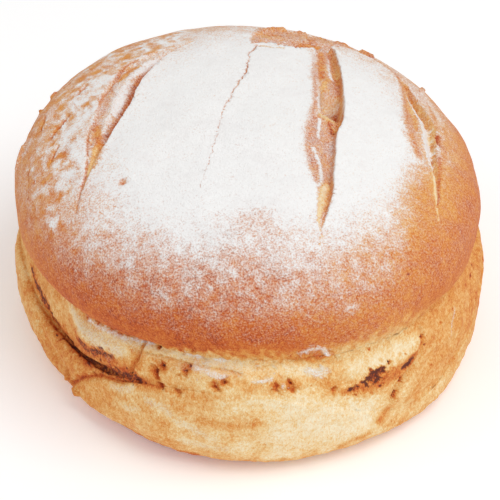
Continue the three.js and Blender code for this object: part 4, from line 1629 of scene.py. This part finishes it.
@dataclass(frozen=True)
class FloorFinish:
    """The matt pale ground that the loaf stands on.

    Attributes:
        pale: the ground's lighter colour.
        dull: its darker colour, in faint clouds.
        glow: light that the ground lets through from below.
        rough: the ground's roughness.
    """

    pale: Screen = (255, 255, 255)
    dull: Screen = (252, 252, 252)
    glow: float = 0.13
    rough: float = 0.9

    def material(self) -> bpy.types.Material:
        """Makes the material.

        Returns:
            The material.
        """
        material, board = new_material("pale_ground")
        board.surface({
            "Base Color": board.tinted(board.noise(Speckle.CLOUD), tone(*self.pale), tone(*self.dull)),
            "Roughness": self.rough,
            "Emission Color": tone(*self.pale),
            "Emission Strength": self.glow,
        })
        return material


def add_object(name: str, data: bpy.types.ID) -> bpy.types.Object:
    """Adds an object to the scene.

    Args:
        name: the object's name.
        data: its mesh, light or camera.

    Returns:
        The object.
    """
    made = bpy.data.objects.new(name, data)
    bpy.context.collection.objects.link(made)
    return made


@dataclass
class Loaf:
    """The whole loaf as one closed mesh.

    Attributes:
        form: the smooth loaf.
        finish: what its crust looks like.
        first_around: vertices in the dome's first ring, by which its rings grow.
        most_around: most vertices in a ring.
        dome_rings: rings of the dome.
        lower_rings: rings of the lip, the strip, the roll, the foot and the base.
        dome_crowding: how strongly the dome's rings crowd towards the crown.
        fine_reach: how far outside a slash the mesh is still split fine.
        finest_reach: how far from a slash's edge it is split finer still.
        thin_mark: half width below which the mesh is split fine round a mark.
        mark_reach: how far outside such a mark it is split fine.
    """

    form: LoafForm = LoafForm()
    finish: CrustFinish = CrustFinish()
    first_around: int = 6
    most_around: int = 456
    dome_rings: int = 96
    lower_rings: tuple[int, ...] = (14, 24, 15, 18, 9)
    dome_crowding: float = 1.15
    fine_reach: float = 1.6
    finest_reach: float = 0.8
    thin_mark: float = 2.5
    mark_reach: float = 0.8

    BOX_ZONES = (0.8, 4.6)
    BOX_STEPS = 60
    SLACK = 1e-9

    def build(self) -> bpy.types.Object:
        """Builds the loaf and dresses it.

        Returns:
            The loaf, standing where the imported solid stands.
        """
        mesh = self._shell()
        self._refine(mesh, self._fine)
        self._refine(mesh, self._finest)
        skin = self._skin(mesh)
        middle = (skin.points.min(axis=0) + skin.points.max(axis=0)) / 2
        for feature in (CrustSkin(), Dome(), TornStrip(), Skirt(), *SLASHES, Bubble(), *MARKS):
            feature.press(skin)
        points = (skin.worked() - [middle[0], middle[1], 0.0]) * MM
        mesh.vertices.foreach_set("co", points.ravel())
        self._dress(mesh, skin)
        return add_object("loaf_crust", mesh)

    def middle(self) -> Plan:
        """Finds the plan place of the middle of the smooth loaf's box.

        Returns:
            Its x and y.
        """
        degrees = np.arange(0.0, 360.0)
        zones = np.linspace(*self.BOX_ZONES, self.BOX_STEPS)
        points = self.form.place(np.repeat(degrees, len(zones)), np.tile(zones, len(degrees)))
        centre = (points.min(axis=0) + points.max(axis=0)) / 2
        return float(centre[0]), float(centre[1])

    def _shell(self) -> bpy.types.Mesh:
        """Makes the smooth loaf as rings from the crown to the middle of the base.

        Returns:
            The closed mesh in millimetres, with its zones as an attribute.
        """
        steps = np.arange(1, self.dome_rings + 1)
        zones = [(steps / self.dome_rings) ** self.dome_crowding]
        counts = [np.minimum(self.first_around * steps, self.most_around)]
        for start, rings in enumerate(self.lower_rings, start=1):
            share = np.arange(1, rings + 1) / rings
            zones.append(start + share)
            around = self.most_around * (1 - share if start == BASE_EDGE else np.ones(rings))
            counts.append(np.maximum(around, self.first_around).astype(int))
        zones = np.concatenate([[0.0], *zones])
        counts = np.concatenate([[1], *counts])
        counts[-1] = 1

        starts = np.concatenate([[0], np.cumsum(counts)])
        bearing = np.concatenate([np.arange(count) * 360.0 / count for count in counts])
        zone = np.repeat(zones, counts)
        triangles = []
        for start, count, end, after in zip(starts, counts, starts[1:], counts[1:]):
            triangles += self._stitch(range(start, start + count), range(end, end + after))
        mesh = bpy.data.meshes.new("loaf_crust")
        mesh.from_pydata(self.form.place(bearing, zone), [], triangles)
        mesh.attributes.new("zone", "FLOAT", "POINT").data.foreach_set("value", zone)
        return mesh

    @staticmethod
    def _stitch(inner: range, outer: range) -> list[tuple[int, int, int]]:
        """Joins two rings of vertices, the second lying outside or below the first.

        Args:
            inner: vertex numbers of the first ring.
            outer: vertex numbers of the second ring.

        Returns:
            The triangles between them.
        """
        triangles = []
        i = 0
        j = 0
        while i < len(inner) or j < len(outer):
            next_inner = (i + 1) / len(inner) if len(inner) > 1 else np.inf
            next_outer = (j + 1) / len(outer) if len(outer) > 1 else np.inf
            if min(next_inner, next_outer) > 1 + Loaf.SLACK:
                break
            here = (inner[i % len(inner)], outer[j % len(outer)])
            if next_outer <= next_inner:
                j += 1
                triangles.append((*here, outer[j % len(outer)]))
            else:
                i += 1
                triangles.append((*here, inner[i % len(inner)]))
        return triangles

    def _skin(self, mesh: bpy.types.Mesh) -> Skin:
        """Reads a mesh as a surface to work on.

        Args:
            mesh: the smooth mesh in millimetres.

        Returns:
            The surface, with nothing raised or painted.
        """
        count = len(mesh.vertices)
        points = np.empty(count * 3)
        mesh.vertices.foreach_get("co", points)
        points = points.reshape(-1, 3)
        normals = np.empty(count * 3, dtype=np.float32)
        mesh.vertex_normals.foreach_get("vector", normals)
        zone = np.empty(count, dtype=np.float32)
        mesh.attributes["zone"].data.foreach_get("value", zone)
        return Skin(
            form=self.form,
            points=points,
            normals=normals.reshape(-1, 3).astype(float),
            bearing=np.degrees(np.arctan2(points[:, 1], points[:, 0])) % 360.0,
            zone=zone.astype(float),
            lift=np.zeros(count),
            slide=np.zeros((count, 3)),
            cut=np.zeros(count),
            paint={paint: np.zeros(count) for paint in Paint},
        )

    def _fine(self, skin: Skin) -> np.ndarray:
        """Picks the vertices in and close to slashes and thin marks.

        Args:
            skin: the surface that is worked on.

        Returns:
            True for each such vertex.
        """
        picked = np.zeros(len(skin.zone), dtype=bool)
        for slash in SLASHES:
            near, inside = slash.inside(skin)
            picked[near[inside > -self.fine_reach]] = True
        for marks in MARKS:
            for run in marks.runs:
                if min(place[2] for place in run) < self.thin_mark:
                    line = marks.run_points(run, self.form)
                    near = marks.near(skin, line)
                    gaps = np.linalg.norm(skin.points[near][:, None] - line[None, :, :3], axis=2)
                    picked[near[(gaps - line[None, :, 3]).min(axis=1) < self.mark_reach]] = True
        return picked

    def _finest(self, skin: Skin) -> np.ndarray:
        """Picks the vertices along the edges of slashes.

        Args:
            skin: the surface that is worked on.

        Returns:
            True for each such vertex.
        """
        picked = np.zeros(len(skin.zone), dtype=bool)
        for slash in SLASHES:
            near, inside = slash.inside(skin)
            picked[near[np.abs(inside) < self.finest_reach]] = True
        return picked

    def _refine(self, mesh: bpy.types.Mesh, pick: Callable[[Skin], np.ndarray]) -> None:
        """Splits the triangles between picked vertices.

        Args:
            mesh: the smooth mesh, which is changed.
            pick: method that picks vertices of a surface.
        """
        picked = pick(self._skin(mesh))
        work = bmesh.new()
        work.from_mesh(mesh)
        edges = [edge for edge in work.edges if all(picked[end.index] for end in edge.verts)]
        bmesh.ops.subdivide_edges(work, edges=edges, cuts=1, use_grid_fill=True)
        bmesh.ops.triangulate(work, faces=work.faces)
        work.to_mesh(mesh)
        work.free()

    def _dress(self, mesh: bpy.types.Mesh, skin: Skin) -> None:
        """Gives the mesh its paint and its material.

        Args:
            mesh: the finished mesh.
            skin: the surface that was worked on.
        """
        for paint, amounts in skin.paint.items():
            layer = mesh.attributes.new(paint.value, "FLOAT", "POINT")
            layer.data.foreach_set("value", amounts.astype(np.float32))
        mesh.attributes.remove(mesh.attributes["zone"])
        mesh.materials.append(self.finish.material())
        mesh.shade_smooth()
        mesh.update()


def facing(place: Vector, target: Vector) -> Euler:
    """Finds how a light or a camera is turned to look at a target.

    Args:
        place: where it is.
        target: what it looks at.

    Returns:
        Its rotation.
    """
    return (target - place).to_track_quat("-Z", "Y").to_euler()


@dataclass(frozen=True)
class Studio:
    """The pale ground, the soft lights and the camera.

    Attributes:
        floor_side: side of the square ground in metres.
        sky: strength of the even light from all round.
        key_power: power of the main light in watts.
        key_place: its place in metres.
        fill_power: power of the second light in watts.
        fill_place: its place in metres.
        light_side: side of each light's square in metres.
        elevation: the camera's height over the horizon in degrees.
        distance: the camera's distance from its target.
        target_height: height of that target over the ground.
        aim_right: how far right of the target the picture's middle lies.
        aim_up: how far above the target it lies.
        focal_pixels: focal length in the picture's pixels.
        image_side: side of the picture in pixels.
        sensor_width: width of the camera's sensor.
    """

    floor_side: float = 6.0
    sky: float = 0.6
    key_power: float = 8.6
    key_place: Place = (0.6, -0.38, 1.28)
    fill_power: float = 2.1
    fill_place: Place = (-1.0, -0.4, 1.2)
    light_side: float = 0.9
    elevation: float = 40.0
    distance: float = 900.0
    target_height: float = 62.0
    aim_right: float = 2.4
    aim_up: float = -12.8
    focal_pixels: float = 1746.0
    image_side: float = 500.0
    sensor_width: float = 36.0

    def build(self, middle: Plan) -> None:
        """Sets up the studio round the loaf.

        Args:
            middle: plan place, in the smooth loaf's own frame, that stands over the origin.
        """
        self._floor()
        self._world()
        self._light("key_light", self.key_place, self.key_power)
        self._light("fill_light", self.fill_place, self.fill_power)
        self._camera(middle)
        bpy.context.scene.view_settings.view_transform = "Standard"

    def _floor(self) -> None:
        """Lays the ground just under the loaf."""
        half = self.floor_side / 2
        mesh = bpy.data.meshes.new("ground")
        corners = [(-half, -half, 0.0), (half, -half, 0.0), (half, half, 0.0), (-half, half, 0.0)]
        mesh.from_pydata(corners, [], [(0, 1, 2, 3)])
        mesh.materials.append(FloorFinish().material())
        ground = add_object("ground", mesh)

    def _world(self) -> None:
        """Lights the scene evenly from all round."""
        world = bpy.data.worlds.new("studio")
        world.use_nodes = True
        board = NodeBoard(world.node_tree)
        glow = board.add("ShaderNodeBackground", {"Color": (1.0, 1.0, 1.0, 1.0), "Strength": self.sky})
        board.add("ShaderNodeOutputWorld", {"Surface": glow.outputs["Background"]})
        bpy.context.scene.world = world

    def _light(self, name: str, place: Place, power: float) -> None:
        """Hangs one soft square light that faces the loaf.

        Args:
            name: the light's name.
            place: its place in metres.
            power: its power in watts.
        """
        light = bpy.data.lights.new(name, "AREA")
        light.energy = power
        light.size = self.light_side
        lamp = add_object(name, light)
        lamp.location = place
        lamp.rotation_euler = facing(Vector(place), Vector((0, 0, self.target_height * MM)))

    def _camera(self, middle: Plan) -> None:
        """Places the camera at the photograph's viewing angle.

        Args:
            middle: plan place, in the smooth loaf's own frame, that stands over the origin.
        """
        rise = np.radians(self.elevation)
        target = Vector((-middle[0], -middle[1], self.target_height))
        place = target + self.distance * Vector((0, -np.cos(rise), np.sin(rise)))
        up = Vector((0, np.sin(rise), np.cos(rise)))
        aim = target + self.aim_right * Vector((1, 0, 0)) + self.aim_up * up
        lens = bpy.data.cameras.new("viewpoint")
        lens.sensor_width = self.sensor_width
        lens.lens = self.focal_pixels / self.image_side * self.sensor_width
        camera = add_object("viewpoint", lens)
        camera.location = place * MM
        camera.rotation_euler = facing(place, aim)
        bpy.context.scene.camera = camera


def main() -> None:
    """Builds the loaf and its studio, and reports each piece."""
    logging.basicConfig(level=logging.INFO, format="%(name)s: %(message)s")
    log.info("packed solids: %s", ", ".join(frame["nodes"]))
    builder = Loaf()
    loaf = builder.build()
    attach(loaf, BODY)
    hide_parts(LOAF_NODE)
    log.info("%s: %d triangles", loaf.name, len(loaf.data.polygons))
    for kind, features in (("slashes", SLASHES), ("marks", MARKS)):
        log.info("%s: %s", kind, ", ".join(feature.name for feature in features))
    Studio().build(builder.middle())


if __name__ == "__main__":
    main()
